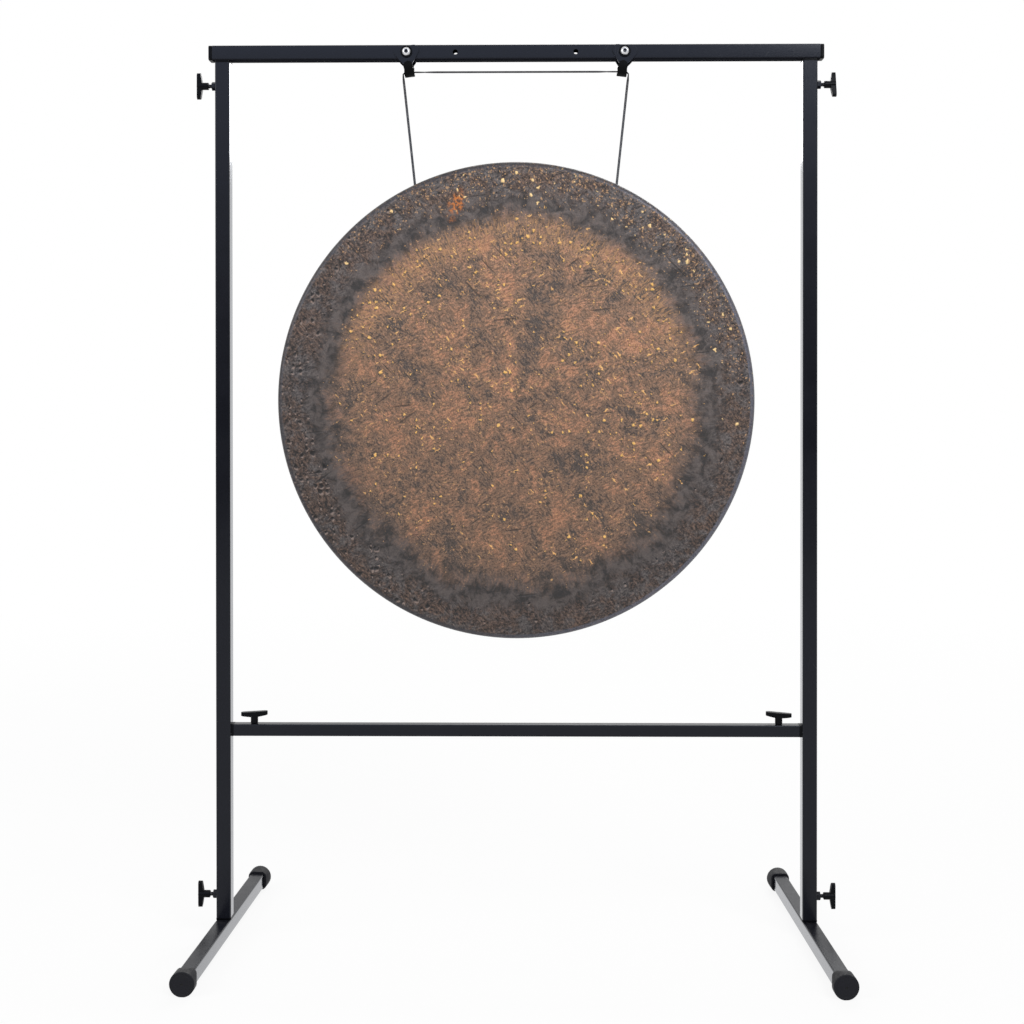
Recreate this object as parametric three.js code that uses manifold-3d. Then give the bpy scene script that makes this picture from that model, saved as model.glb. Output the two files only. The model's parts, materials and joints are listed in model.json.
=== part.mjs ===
// A free-standing gong stand of square steel tube, with its gong hung on a cord.
// Millimetres, +Z up, the front faces -Y and +X is to the right seen from the front.
// The origin is on the floor, below the middle of the stand.

import * as THREE from 'three';
import { mergeVertices } from 'three/addons/utils/BufferGeometryUtils.js';
import Module from 'manifold-3d';

const wasm = await Module();
wasm.setup();

// Overall sizes of the stand
const OVERALL_HEIGHT = 1518;
const FRAME_WIDTH = 1020;
const TOP_BAR_OVERHANG = 11;
const TOP_BAR_LENGTH = FRAME_WIDTH + 2 * TOP_BAR_OVERHANG;
const FOOT_LENGTH = 510;
const FOOT_TOE = THREE.MathUtils.degToRad(2.7);

// Square tubes: outer size, wall and outer corner radius
const MAIN_TUBE = { size: 25, wall: 1.5, corner: 2.5 };
const LEG_TUBE = { size: 20, wall: 1.5, corner: 2 };
const SPIGOT_TUBE = { size: 16, wall: 1.5, corner: 2 };
const TOP_LEG_LENGTH = 160;
const FOOT_LEG_LENGTH = 100;
const SPIGOT_LENGTH = 60;

// Clearances: between pieces that touch, per side of a sliding fit, round a thread or a bolt
const SEAT_GAP = 0.3;
const SLIDE_GAP = 0.2;
const THREAD_GAP = 0.15;
const BOLT_GAP = 0.25;
const OVERRUN = 4;

// Plastic bushes at the ends of the uprights and of the cross bar, and plugs of the top bar
const BUSH_FLANGE = 3;
const BUSH_PROUD = 0.3;
const BUSH_DEPTH = 22;
const BAR_BUSH_FLANGE = 4;
const PLUG_FLANGE = 6;
const PLUG_EDGE = 1;
const PLUG_DEPTH = 15;

// Rubber caps at the ends of the feet: round at the closed end, a rounded square at the mouth
const CAP_DIAMETER = 40;
const CAP_LENGTH = 26;
const CAP_ROUND_LENGTH = 12;
const CAP_MOUTH = { size: 33, corner: 8.5, lip: 1 };
const CAP_END_WALL = 5;
const CAP_EDGE = 1.6;
const CAP_FLAT_DEPTH = 0.6;

// Wing bolts: a threaded stud with a plain neck, moulded into a plastic T head
const THREAD_DIAMETER = 7.8;
const THREAD_END = 0.8;
const NECK_DIAMETER = 6.4;
const NECK_LENGTH = 5.6;
const STUD_INSERT = 8;
const HUB_DIAMETER = 12.4;
const HUB_HEIGHT = 11;
const HUB_EDGE = 0.8;
const WING_SPAN = 45;
const WING_WIDTH = 9.6;
const WING_THICKNESS = 8.8;
const WING_TIP_THICKNESS = 6.2;
const WELD_NUT = { flats: 13, height: 6.8 };
const SPIGOT_NUT = { diameter: 12.2, height: 6.8 };
const LOWER_CLAMP_DISTANCE = 41;
const UPPER_CLAMP_DISTANCE = 42;
const CROSS_CLAMP_INSET = 38.4;

// Hangers: a bolted U of steel strip that goes under the top bar, with a rubber sleeve
const HANGER_SPACING = 369;
const HANGER_LEAN = THREE.MathUtils.degToRad(7);
const HANGER_DROP = 40;
const STRAP = 2;
const SLEEVE = 1.2;
const SLEEVE_GAP = 0.15;
const SHIELD_TOP = 10.5;
const SHIELD_CORNER = 8;
const SHIELD_HALF = 21;
const SHIELD_SHOULDER = 1.5;
const SHIELD_WAIST_HALF = 13.7;
const SHIELD_WAIST = 12.6;
const TONGUE_HALF = 6.2;
const TONGUE_START = 22;
const SLEEVE_HALF = 8.3;
const SLEEVE_WAIST_HALF = 7.4;
const SLEEVE_TOP = 15.2;
const SLEEVE_WAIST = 29;
const SLEEVE_LIP = 34.5;

// Bolts, washers and nuts of the hangers, and the spare holes of the top bar
const BOLT_DIAMETER = 7.9;
const BOLT_HEAD = { diameter: 14.4, height: 4.4, socket: 5.2, socketDepth: 2.6 };
const BOLT_CROWN = { diameter: 7.8, shoulder: 12.4, shoulderHeight: 2.7, rim: 0.9 };
const BOLT_TAIL = 2;
const WASHER = { diameter: 20, height: 1.6 };
const LOCK_NUT = { flats: 13, height: 5.6, collar: 11.6, collarHeight: 2.4 };
const SPARE_HOLE_DIAMETER = 8.5;
const SPARE_HOLE_SPACING = 204;

// Gong: a hammered disc with a turned-back lip, and two holes in the lip for the cord
const GONG_DIAMETER = 812.8;
const GONG_WALL = 1.7;
const GONG_EDGE_RADIUS = 11;
const GONG_LIP_DEPTH = 46;
const GONG_LIP_TAPER = 5;
const LIP_HOLE_DIAMETER = 7.5;
const LIP_HOLE_X = 171;
const LIP_HOLE_SETBACK = 15;

// How far the lip holes are below the top bar's axis, and the cross bar below the gong
const LIP_HOLE_DROP = 223.457;
const CROSS_BAR_CLEARANCE = 142.6;

// Cord: a loosely twisted pair of strands, which lie side by side between the hangers
const STRAND_DIAMETER = 2.1;
const PAIR_DIAMETER = 4.2;
const KNOT_DIAMETER = 9;

// Route of the right drop from the hanger to the lip hole: X and the height from the top bar's axis
const DROP_ROUTE = [
  [185.2, -31.6],
  [188.38, -32.51],
  [190.59, -34.97],
  [191.17, -38.24],
  [188.31, -65.01],
  [185.45, -91.77],
  [182.59, -118.54],
  [179.73, -145.3],
  [176.86, -172.07],
  [174, -198.83],
  [171.14, -225.6],
];

// How finely round forms are divided
const ARC_STEPS = 2;
const BEND_STEPS = 7;
const ROD_SIDES = 20;
const CAP_SIDES = 32;
const GONG_SIDES = 88;
const EDGE_STEPS = 4;
const CORD_SIDES = 10;
const RUN_STEPS = 20;
const DROP_STEPS = 3;
const KNOT_SIDES = 12;
const KNOT_RINGS = 8;

const FINISHES = {
  powder_coat: { color: 0x30343d, roughness: 0.42, metalness: 0.25 },
  zinc_steel: { color: 0xc9ccd0, roughness: 0.28, metalness: 0.95 },
  black_steel: { color: 0x17181a, roughness: 0.5, metalness: 0.4 },
  black_plastic: { color: 0x161618, roughness: 0.55, metalness: 0 },
  rubber: { color: 0x222224, roughness: 0.75, metalness: 0 },
  cord: { color: 0x2c2c31, roughness: 0.85, metalness: 0 },
  bronze: { color: 0x5e5247, roughness: 0.45, metalness: 0.85 },
};

// Places that follow from the sizes above
const MAIN_HALF = MAIN_TUBE.size / 2;
const UPRIGHT_X = FRAME_WIDTH / 2 - MAIN_HALF;
const CAP_RADIUS = CAP_DIAMETER / 2;
const FOOT_CENTRE_Z = CAP_RADIUS - CAP_FLAT_DEPTH;
const FOOT_TOP_Z = FOOT_CENTRE_Z + MAIN_HALF;
const BAR_BOTTOM_Z = OVERALL_HEIGHT - MAIN_TUBE.size;
const BAR_CENTRE_Z = OVERALL_HEIGHT - MAIN_HALF;
const UPRIGHT_BOTTOM_Z = FOOT_TOP_Z + BUSH_FLANGE + 2 * SEAT_GAP;
const UPRIGHT_TOP_Z = BAR_BOTTOM_Z - BUSH_FLANGE - 2 * SEAT_GAP;
const LOWER_CLAMP_Z = FOOT_TOP_Z + LOWER_CLAMP_DISTANCE;
const UPPER_CLAMP_Z = BAR_BOTTOM_Z - UPPER_CLAMP_DISTANCE;
const HOLE_TAPER = (LIP_HOLE_SETBACK - GONG_EDGE_RADIUS) / (GONG_LIP_DEPTH - GONG_EDGE_RADIUS);
const HOLE_RADIUS = GONG_DIAMETER / 2 - GONG_LIP_TAPER * HOLE_TAPER;
const HOLE_HEIGHT = Math.sqrt(HOLE_RADIUS ** 2 - LIP_HOLE_X ** 2);
const LIP_HOLE_Z = BAR_CENTRE_Z - LIP_HOLE_DROP;
const GONG_BOTTOM_Z = LIP_HOLE_Z - HOLE_HEIGHT - GONG_DIAMETER / 2;
const CROSS_TOP_Z = GONG_BOTTOM_Z - CROSS_BAR_CLEARANCE;
const CROSS_BAR_HEIGHT = CROSS_TOP_Z - LEG_TUBE.size / 2;
const CROSS_SPAN_HALF = UPRIGHT_X - MAIN_HALF;
const CROSS_CLAMP_X = CROSS_SPAN_HALF - CROSS_CLAMP_INSET;
const HANGER_X = HANGER_SPACING / 2;
const THREAD_HOLE = THREAD_DIAMETER + 2 * THREAD_GAP;
const CLEAR_HOLE = THREAD_DIAMETER + 2 * BOLT_GAP;
const UPRIGHT_HUB_HEIGHT = SEAT_GAP + WELD_NUT.height + NECK_LENGTH;
const STUD_REACH = UPRIGHT_HUB_HEIGHT + MAIN_HALF - LEG_TUBE.size / 2 - SEAT_GAP;
const WING_TOP = HUB_HEIGHT + WING_THICKNESS;

// Solids and cuts

function toSolid(geometry) {
  const bare = geometry.clone();
  bare.deleteAttribute('normal');
  bare.deleteAttribute('uv');
  const merged = mergeVertices(bare);
  const vertProperties = new Float32Array(merged.attributes.position.array);
  const triVerts = new Uint32Array(merged.index.array);
  return new wasm.Manifold(new wasm.Mesh({ numProp: 3, vertProperties, triVerts }));
}

function toGeometry(solid) {
  const mesh = solid.getMesh();
  const geometry = new THREE.BufferGeometry();
  geometry.setAttribute('position', new THREE.BufferAttribute(mesh.vertProperties, 3));
  geometry.setIndex(new THREE.BufferAttribute(mesh.triVerts, 1));
  geometry.computeVertexNormals();
  return geometry;
}

function cut(body, ...tools) {
  return toGeometry(tools.reduce((solid, tool) => solid.subtract(toSolid(tool)), toSolid(body)));
}

function join(body, ...others) {
  return toGeometry(others.reduce((solid, other) => solid.add(toSolid(other)), toSolid(body)));
}

function common(body, ...others) {
  return toGeometry(others.reduce((solid, other) => solid.intersect(toSolid(other)), toSolid(body)));
}

// The smallest body without hollows that holds all the others
function wrapped(...bodies) {
  return toGeometry(wasm.Manifold.hull(bodies.map(toSolid)));
}

// Directions: each turns a shape made along +Z
const alongX = (geometry) => geometry.rotateY(Math.PI / 2);
const alongY = (geometry) => geometry.rotateX(-Math.PI / 2);

// An outline drawn in Y and Z, extruded along X
function extrudeAcross(shape, width) {
  const axes = new THREE.Matrix4().makeBasis(
    new THREE.Vector3(0, 1, 0),
    new THREE.Vector3(0, 0, 1),
    new THREE.Vector3(1, 0, 0),
  );
  return extrude(shape, width, { curveSegments: BEND_STEPS })
    .translate(0, 0, -width / 2)
    .applyMatrix4(axes);
}

// An outline drawn in X and Z, extruded along Y
function extrudeDeep(shape, depth) {
  return extrude(shape, depth).translate(0, 0, -depth / 2).rotateX(Math.PI / 2);
}

function extrude(shape, depth, options = {}) {
  return new THREE.ExtrudeGeometry(shape, {
    depth,
    bevelEnabled: false,
    curveSegments: ARC_STEPS,
    ...options,
  });
}

function rod(diameter, from, to, sides = ROD_SIDES) {
  const radius = diameter / 2;
  return new THREE.CylinderGeometry(radius, radius, to - from, sides)
    .rotateX(Math.PI / 2)
    .translate(0, 0, (from + to) / 2);
}

// A lathe profile of [radius, height] pairs, turned about +Z
function turned(profile, sides = ROD_SIDES) {
  const points = profile.map(([radius, height]) => new THREE.Vector2(radius, height));
  return new THREE.LatheGeometry(points, sides).rotateX(Math.PI / 2);
}

// Points of a quarter round from one angle to another, for a lathe profile
function roundPoints(radius, height, size, from, to) {
  return Array.from({ length: EDGE_STEPS + 1 }, (_, step) => {
    const angle = from + ((to - from) * step) / EDGE_STEPS;
    return [radius + size * Math.cos(angle), height + size * Math.sin(angle)];
  });
}

function roundedSquare(outline, size, corner) {
  const inner = size / 2 - corner;
  outline.absarc(inner, inner, corner, 0, Math.PI / 2);
  outline.absarc(-inner, inner, corner, Math.PI / 2, Math.PI);
  outline.absarc(-inner, -inner, corner, Math.PI, 1.5 * Math.PI);
  outline.absarc(inner, -inner, corner, 1.5 * Math.PI, 2 * Math.PI);
  outline.closePath();
  return outline;
}

function squareBlock(size, corner, from, to) {
  return extrude(roundedSquare(new THREE.Shape(), size, corner), to - from).translate(0, 0, from);
}

function squareTube({ size, wall, corner }, from, to) {
  const outline = roundedSquare(new THREE.Shape(), size, corner);
  outline.holes.push(roundedSquare(new THREE.Path(), size - 2 * wall, corner - wall));
  return extrude(outline, to - from).translate(0, 0, from);
}

function hexagon(flats) {
  const corner = flats / Math.sqrt(3);
  const outline = new THREE.Shape();
  outline.setFromPoints(Array.from({ length: 6 }, (_, index) => {
    const angle = (index * Math.PI) / 3;
    return new THREE.Vector2(corner * Math.cos(angle), corner * Math.sin(angle));
  }));
  return outline;
}

function piece(name, finish, geometry) {
  const mesh = new THREE.Mesh(geometry, new THREE.MeshStandardMaterial(FINISHES[finish]));
  mesh.name = name;
  return mesh;
}

function groupAt(x, y, z, ...children) {
  const group = new THREE.Group();
  group.position.set(x, y, z);
  group.add(...children);
  return group;
}

const SIDES = [
  { name: 'left', sign: -1 },
  { name: 'right', sign: 1 },
];

// Plastic bush: a flange that caps the end of a tube, and a sleeve inside it round the sliding tube
function endBush(outer, inner, flange, depth) {
  const flangeSize = outer.size + 2 * BUSH_PROUD;
  const sleeveSize = outer.size - 2 * outer.wall - 2 * THREAD_GAP;
  const bore = inner.size + 2 * SLIDE_GAP;
  const flangeBlock = squareBlock(flangeSize, outer.corner + BUSH_PROUD, 0, flange);
  const sleeve = squareBlock(sleeveSize, outer.corner, 0, flange + depth);
  const opening = squareBlock(bore, inner.corner + SLIDE_GAP, -OVERRUN, flange + depth + OVERRUN);
  return cut(join(flangeBlock, sleeve), opening);
}

function upright() {
  const tube = squareTube(MAIN_TUBE, UPRIGHT_BOTTOM_Z, UPRIGHT_TOP_Z);
  const holes = [LOWER_CLAMP_Z, UPPER_CLAMP_Z].map((height) => (
    alongX(rod(CLEAR_HOLE, MAIN_HALF - OVERRUN, MAIN_HALF + OVERRUN)).translate(0, 0, height)));
  return cut(tube, ...holes);
}

function weldNut() {
  const body = extrude(hexagon(WELD_NUT.flats), WELD_NUT.height).translate(0, 0, SEAT_GAP);
  return cut(body, rod(THREAD_HOLE, -OVERRUN, WELD_NUT.height + OVERRUN));
}

function stud() {
  const thread = THREAD_DIAMETER / 2;
  const neck = NECK_DIAMETER / 2;
  return turned([
    [0, -STUD_REACH],
    [thread - THREAD_END, -STUD_REACH],
    [thread, -STUD_REACH + THREAD_END],
    [thread, -NECK_LENGTH],
    [neck, -NECK_LENGTH + THREAD_END],
    [neck, 0],
    [thread, SEAT_GAP],
    [thread, STUD_INSERT],
    [0, STUD_INSERT],
  ]);
}

function wingHead() {
  const hub = HUB_DIAMETER / 2;
  const half = WING_SPAN / 2;
  const tip = WING_TOP - WING_TIP_THICKNESS;
  const side = new THREE.Shape();
  side.moveTo(-half, tip);
  side.lineTo(-hub, HUB_HEIGHT);
  side.lineTo(hub, HUB_HEIGHT);
  side.lineTo(half, tip);
  side.lineTo(half, WING_TOP);
  side.lineTo(-half, WING_TOP);
  side.closePath();
  const end = WING_WIDTH / 2;
  const plan = new THREE.Shape();
  plan.absarc(half - end, 0, end, -Math.PI / 2, Math.PI / 2);
  plan.absarc(-half + end, 0, end, Math.PI / 2, 1.5 * Math.PI);
  plan.closePath();
  const wings = common(extrudeDeep(side, WING_WIDTH + OVERRUN), extrude(plan, WING_TOP + OVERRUN));
  const post = turned([
    [0, 0],
    [hub - HUB_EDGE, 0],
    [hub, HUB_EDGE],
    [hub, WING_TOP - HUB_EDGE],
    [hub - HUB_EDGE, WING_TOP],
    [0, WING_TOP],
  ]);
  return cut(join(wings, post), rod(THREAD_HOLE, -OVERRUN, STUD_INSERT + SEAT_GAP));
}

// A wing bolt stands on +Z, with its hub at the given height over the wall that it goes through
function wingBolt(name, hubHeight) {
  const head = piece(`wing_head_${name}`, 'black_plastic', wingHead());
  head.rotation.z = WING_TURNS[name];
  return groupAt(0, 0, hubHeight, piece(`wing_stud_${name}`, 'black_steel', stud()), head);
}

// How far each head is turned from its straight place, along the upright or along the cross bar
const WING_TURNS = {
  lower_left: 0,
  lower_right: 0,
  upper_left: 0,
  upper_right: THREE.MathUtils.degToRad(-15),
  cross_left: THREE.MathUtils.degToRad(17),
  cross_right: THREE.MathUtils.degToRad(-24),
};

// A clamp on the +X side of an upright: a nut welded on the tube, and the wing bolt in it
function uprightClamp(name, height) {
  const clamp = groupAt(MAIN_HALF, 0, height,
    piece(`weld_nut_${name}`, 'powder_coat', weldNut()),
    wingBolt(name, UPRIGHT_HUB_HEIGHT));
  clamp.rotation.y = Math.PI / 2;
  return clamp;
}

function crossBar() {
  const end = CROSS_SPAN_HALF - BAR_BUSH_FLANGE - 2 * SEAT_GAP;
  const tube = alongX(squareTube(LEG_TUBE, -end, end));
  const half = LEG_TUBE.size / 2;
  const holes = SIDES.map((side) => (
    rod(CLEAR_HOLE, half - OVERRUN, half + OVERRUN).translate(side.sign * CROSS_CLAMP_X, 0, 0)));
  return cut(tube, ...holes);
}

// Stub on the inner face of an upright, with a threaded bush below its top wall, for the cross bar
function crossSpigot() {
  const half = SPIGOT_TUBE.size / 2;
  const tube = alongX(squareTube(SPIGOT_TUBE, SEAT_GAP, SPIGOT_LENGTH));
  const hole = rod(CLEAR_HOLE, half - OVERRUN, half + OVERRUN).translate(CROSS_CLAMP_INSET, 0, 0);
  return cut(tube, hole);
}

function spigotNut() {
  const top = SPIGOT_TUBE.size / 2 - SPIGOT_TUBE.wall - SEAT_GAP;
  const body = rod(SPIGOT_NUT.diameter, top - SPIGOT_NUT.height, top);
  return cut(body, rod(THREAD_HOLE, top - SPIGOT_NUT.height - OVERRUN, top + OVERRUN));
}

// One side of the fixed frame. In its own frame +X is outwards, away from the gong.
function frameSide(side) {
  const bush = () => endBush(MAIN_TUBE, LEG_TUBE, BUSH_FLANGE, BUSH_DEPTH);
  const lowerBush = piece(`lower_bush_${side.name}`, 'black_plastic', bush());
  lowerBush.position.z = FOOT_TOP_Z + SEAT_GAP;
  const upperBush = piece(`upper_bush_${side.name}`, 'black_plastic', bush());
  upperBush.position.z = BAR_BOTTOM_Z - SEAT_GAP;
  upperBush.rotation.x = Math.PI;
  const spigot = groupAt(-MAIN_HALF, 0, CROSS_BAR_HEIGHT,
    piece(`cross_spigot_${side.name}`, 'powder_coat', crossSpigot()),
    groupAt(CROSS_CLAMP_INSET, 0, 0, piece(`spigot_nut_${side.name}`, 'zinc_steel', spigotNut())));
  spigot.rotation.z = Math.PI;
  const outward = groupAt(side.sign * UPRIGHT_X, 0, 0,
    piece(`upright_${side.name}`, 'powder_coat', upright()),
    lowerBush,
    upperBush,
    spigot,
    uprightClamp(`lower_${side.name}`, LOWER_CLAMP_Z),
    uprightClamp(`upper_${side.name}`, UPPER_CLAMP_Z));
  outward.rotation.z = side.sign > 0 ? 0 : Math.PI;
  return outward;
}

// Cross bar with its end bushes and the two wing bolts that hold it to the spigots
function crossBarPieces() {
  const bar = piece('cross_bar', 'powder_coat', crossBar());
  bar.position.z = CROSS_BAR_HEIGHT;
  const ends = SIDES.map((side) => {
    const bush = piece(`cross_bush_${side.name}`, 'black_plastic',
      endBush(LEG_TUBE, SPIGOT_TUBE, BAR_BUSH_FLANGE, 0));
    const end = groupAt(side.sign * (CROSS_SPAN_HALF - SEAT_GAP), 0, CROSS_BAR_HEIGHT, bush);
    end.rotation.y = (-side.sign * Math.PI) / 2;
    return end;
  });
  const bolts = SIDES.map((side) => (
    groupAt(side.sign * CROSS_CLAMP_X, 0, CROSS_TOP_Z, wingBolt(`cross_${side.name}`, SEAT_GAP))));
  return [bar, ...ends, ...bolts];
}

// Rubber cap with its closed end at y 0 and its mouth towards -Y, flat where it stands on the floor
function footCap() {
  const round = turned([
    [0, 0],
    ...roundPoints(CAP_RADIUS - CAP_EDGE, CAP_EDGE, CAP_EDGE, -Math.PI / 2, 0),
    [CAP_RADIUS, CAP_ROUND_LENGTH],
    [0, CAP_ROUND_LENGTH],
  ], CAP_SIDES);
  const mouth = squareBlock(CAP_MOUTH.size, CAP_MOUTH.corner, CAP_LENGTH - CAP_MOUTH.lip, CAP_LENGTH);
  const body = wrapped(round, mouth);
  const socketSize = MAIN_TUBE.size + 2 * SEAT_GAP;
  const socket = squareBlock(socketSize, MAIN_TUBE.corner, CAP_END_WALL, CAP_LENGTH + OVERRUN);
  const floor = new THREE.BoxGeometry(CAP_DIAMETER, OVERRUN, CAP_LENGTH + OVERRUN)
    .translate(0, -CAP_RADIUS + CAP_FLAT_DEPTH - OVERRUN / 2, CAP_LENGTH / 2);
  return cut(body, socket, floor).rotateX(Math.PI / 2);
}

function foot(side) {
  const half = FOOT_LENGTH / 2;
  const tubeEnd = half - CAP_END_WALL - SEAT_GAP;
  const tube = alongY(squareTube(MAIN_TUBE, -tubeEnd, tubeEnd));
  const front = piece(`foot_cap_front_${side.name}`, 'rubber', footCap());
  front.position.y = -half;
  front.rotation.z = Math.PI;
  const rear = piece(`foot_cap_rear_${side.name}`, 'rubber', footCap());
  rear.position.y = half;
  const beam = groupAt(0, 0, FOOT_CENTRE_Z,
    piece(`foot_tube_${side.name}`, 'powder_coat', tube), front, rear);
  beam.rotation.z = side.sign * FOOT_TOE;
  const leg = squareTube(LEG_TUBE, FOOT_TOP_Z + SEAT_GAP, FOOT_TOP_Z + FOOT_LEG_LENGTH);
  return groupAt(side.sign * UPRIGHT_X, 0, 0, beam,
    piece(`foot_leg_${side.name}`, 'powder_coat', leg));
}

// Top bar with its legs, end plugs and the bolts of the hangers

function topBar() {
  const end = TOP_BAR_LENGTH / 2 - PLUG_FLANGE - SEAT_GAP;
  const tube = alongX(squareTube(MAIN_TUBE, -end, end));
  const reach = MAIN_HALF + OVERRUN;
  const boltHole = BOLT_DIAMETER + 2 * BOLT_GAP;
  const holes = SIDES.flatMap((side) => [
    alongY(rod(boltHole, -reach, reach)).translate(side.sign * HANGER_X, 0, 0),
    alongY(rod(SPARE_HOLE_DIAMETER, -reach, reach))
      .translate((side.sign * SPARE_HOLE_SPACING) / 2, 0, 0),
  ]);
  return cut(tube, ...holes);
}

function endPlug() {
  const flange = extrude(
    roundedSquare(new THREE.Shape(), MAIN_TUBE.size - 2 * PLUG_EDGE, MAIN_TUBE.corner),
    PLUG_FLANGE - 2 * PLUG_EDGE,
    { bevelEnabled: true, bevelThickness: PLUG_EDGE, bevelSize: PLUG_EDGE, bevelSegments: 2 },
  ).translate(0, 0, -PLUG_FLANGE + PLUG_EDGE);
  const insertSize = MAIN_TUBE.size - 2 * MAIN_TUBE.wall - 2 * THREAD_GAP;
  return join(flange, squareBlock(insertSize, MAIN_TUBE.corner, -PLUG_EDGE, PLUG_DEPTH));
}

// Button-head bolt from the front: its head's underside is at z 0 and its shank runs to +Z
function hangerBolt(shankLength) {
  const radius = BOLT_HEAD.diameter / 2;
  const head = turned([
    [0, -BOLT_HEAD.height],
    [BOLT_CROWN.diameter / 2, -BOLT_HEAD.height],
    [BOLT_CROWN.shoulder / 2, -BOLT_CROWN.shoulderHeight],
    [radius, -BOLT_CROWN.rim],
    [radius, 0],
    [BOLT_DIAMETER / 2, 0],
    [BOLT_DIAMETER / 2, shankLength - THREAD_END],
    [BOLT_DIAMETER / 2 - THREAD_END, shankLength],
    [0, shankLength],
  ]);
  const socket = extrude(hexagon(BOLT_HEAD.socket), BOLT_HEAD.socketDepth + OVERRUN)
    .translate(0, 0, -BOLT_HEAD.height - OVERRUN);
  return cut(head, socket);
}

function washer() {
  const body = rod(WASHER.diameter, 0, WASHER.height, CAP_SIDES);
  return cut(body, rod(BOLT_DIAMETER + 2 * BOLT_GAP, -OVERRUN, WASHER.height + OVERRUN));
}

function lockNut() {
  const body = extrude(hexagon(LOCK_NUT.flats), LOCK_NUT.height);
  const top = LOCK_NUT.height + LOCK_NUT.collarHeight;
  const collar = rod(LOCK_NUT.collar, 0, top);
  return cut(join(body, collar), rod(BOLT_DIAMETER + 2 * THREAD_GAP, -OVERRUN, top + OVERRUN));
}

// Bolt, washers and nut of one hanger, stacked along +Y from the front of the bar to its back
function hangerFasteners(side) {
  const plateFace = MAIN_HALF + SEAT_GAP + STRAP;
  const washerAt = plateFace + SEAT_GAP;
  const headAt = washerAt + WASHER.height + SEAT_GAP;
  const nutHeight = LOCK_NUT.height + LOCK_NUT.collarHeight;
  const shank = 2 * headAt + nutHeight + BOLT_TAIL;
  const bolt = piece(`hanger_bolt_${side.name}`, 'zinc_steel', alongY(hangerBolt(shank)));
  bolt.position.y = -headAt;
  const front = piece(`front_washer_${side.name}`, 'black_plastic', alongY(washer()));
  front.position.y = -washerAt - WASHER.height;
  const back = piece(`back_washer_${side.name}`, 'zinc_steel', alongY(washer()));
  back.position.y = washerAt;
  const nut = piece(`lock_nut_${side.name}`, 'zinc_steel', alongY(lockNut()));
  nut.position.y = headAt;
  return groupAt(side.sign * HANGER_X, 0, BAR_CENTRE_Z, bolt, front, back, nut);
}

function topBarPieces() {
  const bar = piece('top_bar', 'powder_coat', topBar());
  bar.position.z = BAR_CENTRE_Z;
  const ends = SIDES.flatMap((side) => {
    const leg = squareTube(LEG_TUBE, BAR_BOTTOM_Z - TOP_LEG_LENGTH, BAR_BOTTOM_Z - SEAT_GAP);
    const legPiece = piece(`top_leg_${side.name}`, 'powder_coat', leg);
    legPiece.position.x = side.sign * UPRIGHT_X;
    const plug = groupAt(side.sign * (TOP_BAR_LENGTH / 2 - PLUG_FLANGE), 0, BAR_CENTRE_Z,
      piece(`end_plug_${side.name}`, 'black_plastic', endPlug()));
    plug.rotation.y = (-side.sign * Math.PI) / 2;
    return [legPiece, plug, hangerFasteners(side)];
  });
  return [bar, ...ends];
}

// Hangers. The bolt's axis is at the origin, the U opens upwards round the bar.

const STRAP_INSIDE = MAIN_HALF + SEAT_GAP;
const STRAP_OUTSIDE = STRAP_INSIDE + STRAP;
const STRAP_BEND_DROP = HANGER_DROP - SLEEVE - SLEEVE_GAP - STRAP_OUTSIDE;

// Section of a U between two half widths, open at the top
function channel(inside, outside, top) {
  const shape = new THREE.Shape();
  shape.moveTo(-outside, top);
  shape.lineTo(-outside, -STRAP_BEND_DROP);
  shape.absarc(0, -STRAP_BEND_DROP, outside, Math.PI, 2 * Math.PI);
  shape.lineTo(outside, top);
  shape.lineTo(inside, top);
  shape.absarc(0, -STRAP_BEND_DROP, inside, 2 * Math.PI, Math.PI, true);
  shape.lineTo(-inside, top);
  shape.closePath();
  return extrudeAcross(shape, 2 * SHIELD_HALF + OVERRUN);
}

// Front outline of the strap: a shield on the bar that narrows to a tongue below it
function shieldOutline(margin) {
  const bottom = -HANGER_DROP - OVERRUN;
  const half = SHIELD_HALF + margin;
  const top = SHIELD_TOP + margin;
  const shape = new THREE.Shape();
  shape.absarc(half - SHIELD_CORNER, top - SHIELD_CORNER, SHIELD_CORNER, 0, Math.PI / 2);
  shape.absarc(-half + SHIELD_CORNER, top - SHIELD_CORNER, SHIELD_CORNER, Math.PI / 2, Math.PI);
  shape.lineTo(-half, -SHIELD_SHOULDER - margin);
  shape.lineTo(-SHIELD_WAIST_HALF - margin, -SHIELD_WAIST - margin);
  shape.lineTo(-TONGUE_HALF - margin, -TONGUE_START - margin);
  shape.lineTo(-TONGUE_HALF - margin, bottom);
  shape.lineTo(TONGUE_HALF + margin, bottom);
  shape.lineTo(TONGUE_HALF + margin, -TONGUE_START - margin);
  shape.lineTo(SHIELD_WAIST_HALF + margin, -SHIELD_WAIST - margin);
  shape.lineTo(half, -SHIELD_SHOULDER - margin);
  shape.closePath();
  return shape;
}

const HANGER_DEPTH = 2 * (STRAP_OUTSIDE + SLEEVE + OVERRUN);

function strapBody(margin) {
  const band = channel(STRAP_INSIDE - margin, STRAP_OUTSIDE + margin, SHIELD_TOP + OVERRUN);
  return common(band, extrudeDeep(shieldOutline(margin), HANGER_DEPTH));
}

function hangerStrap() {
  const reach = STRAP_OUTSIDE + OVERRUN;
  return cut(strapBody(0), alongY(rod(BOLT_DIAMETER + 2 * BOLT_GAP, -reach, reach)));
}

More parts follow.
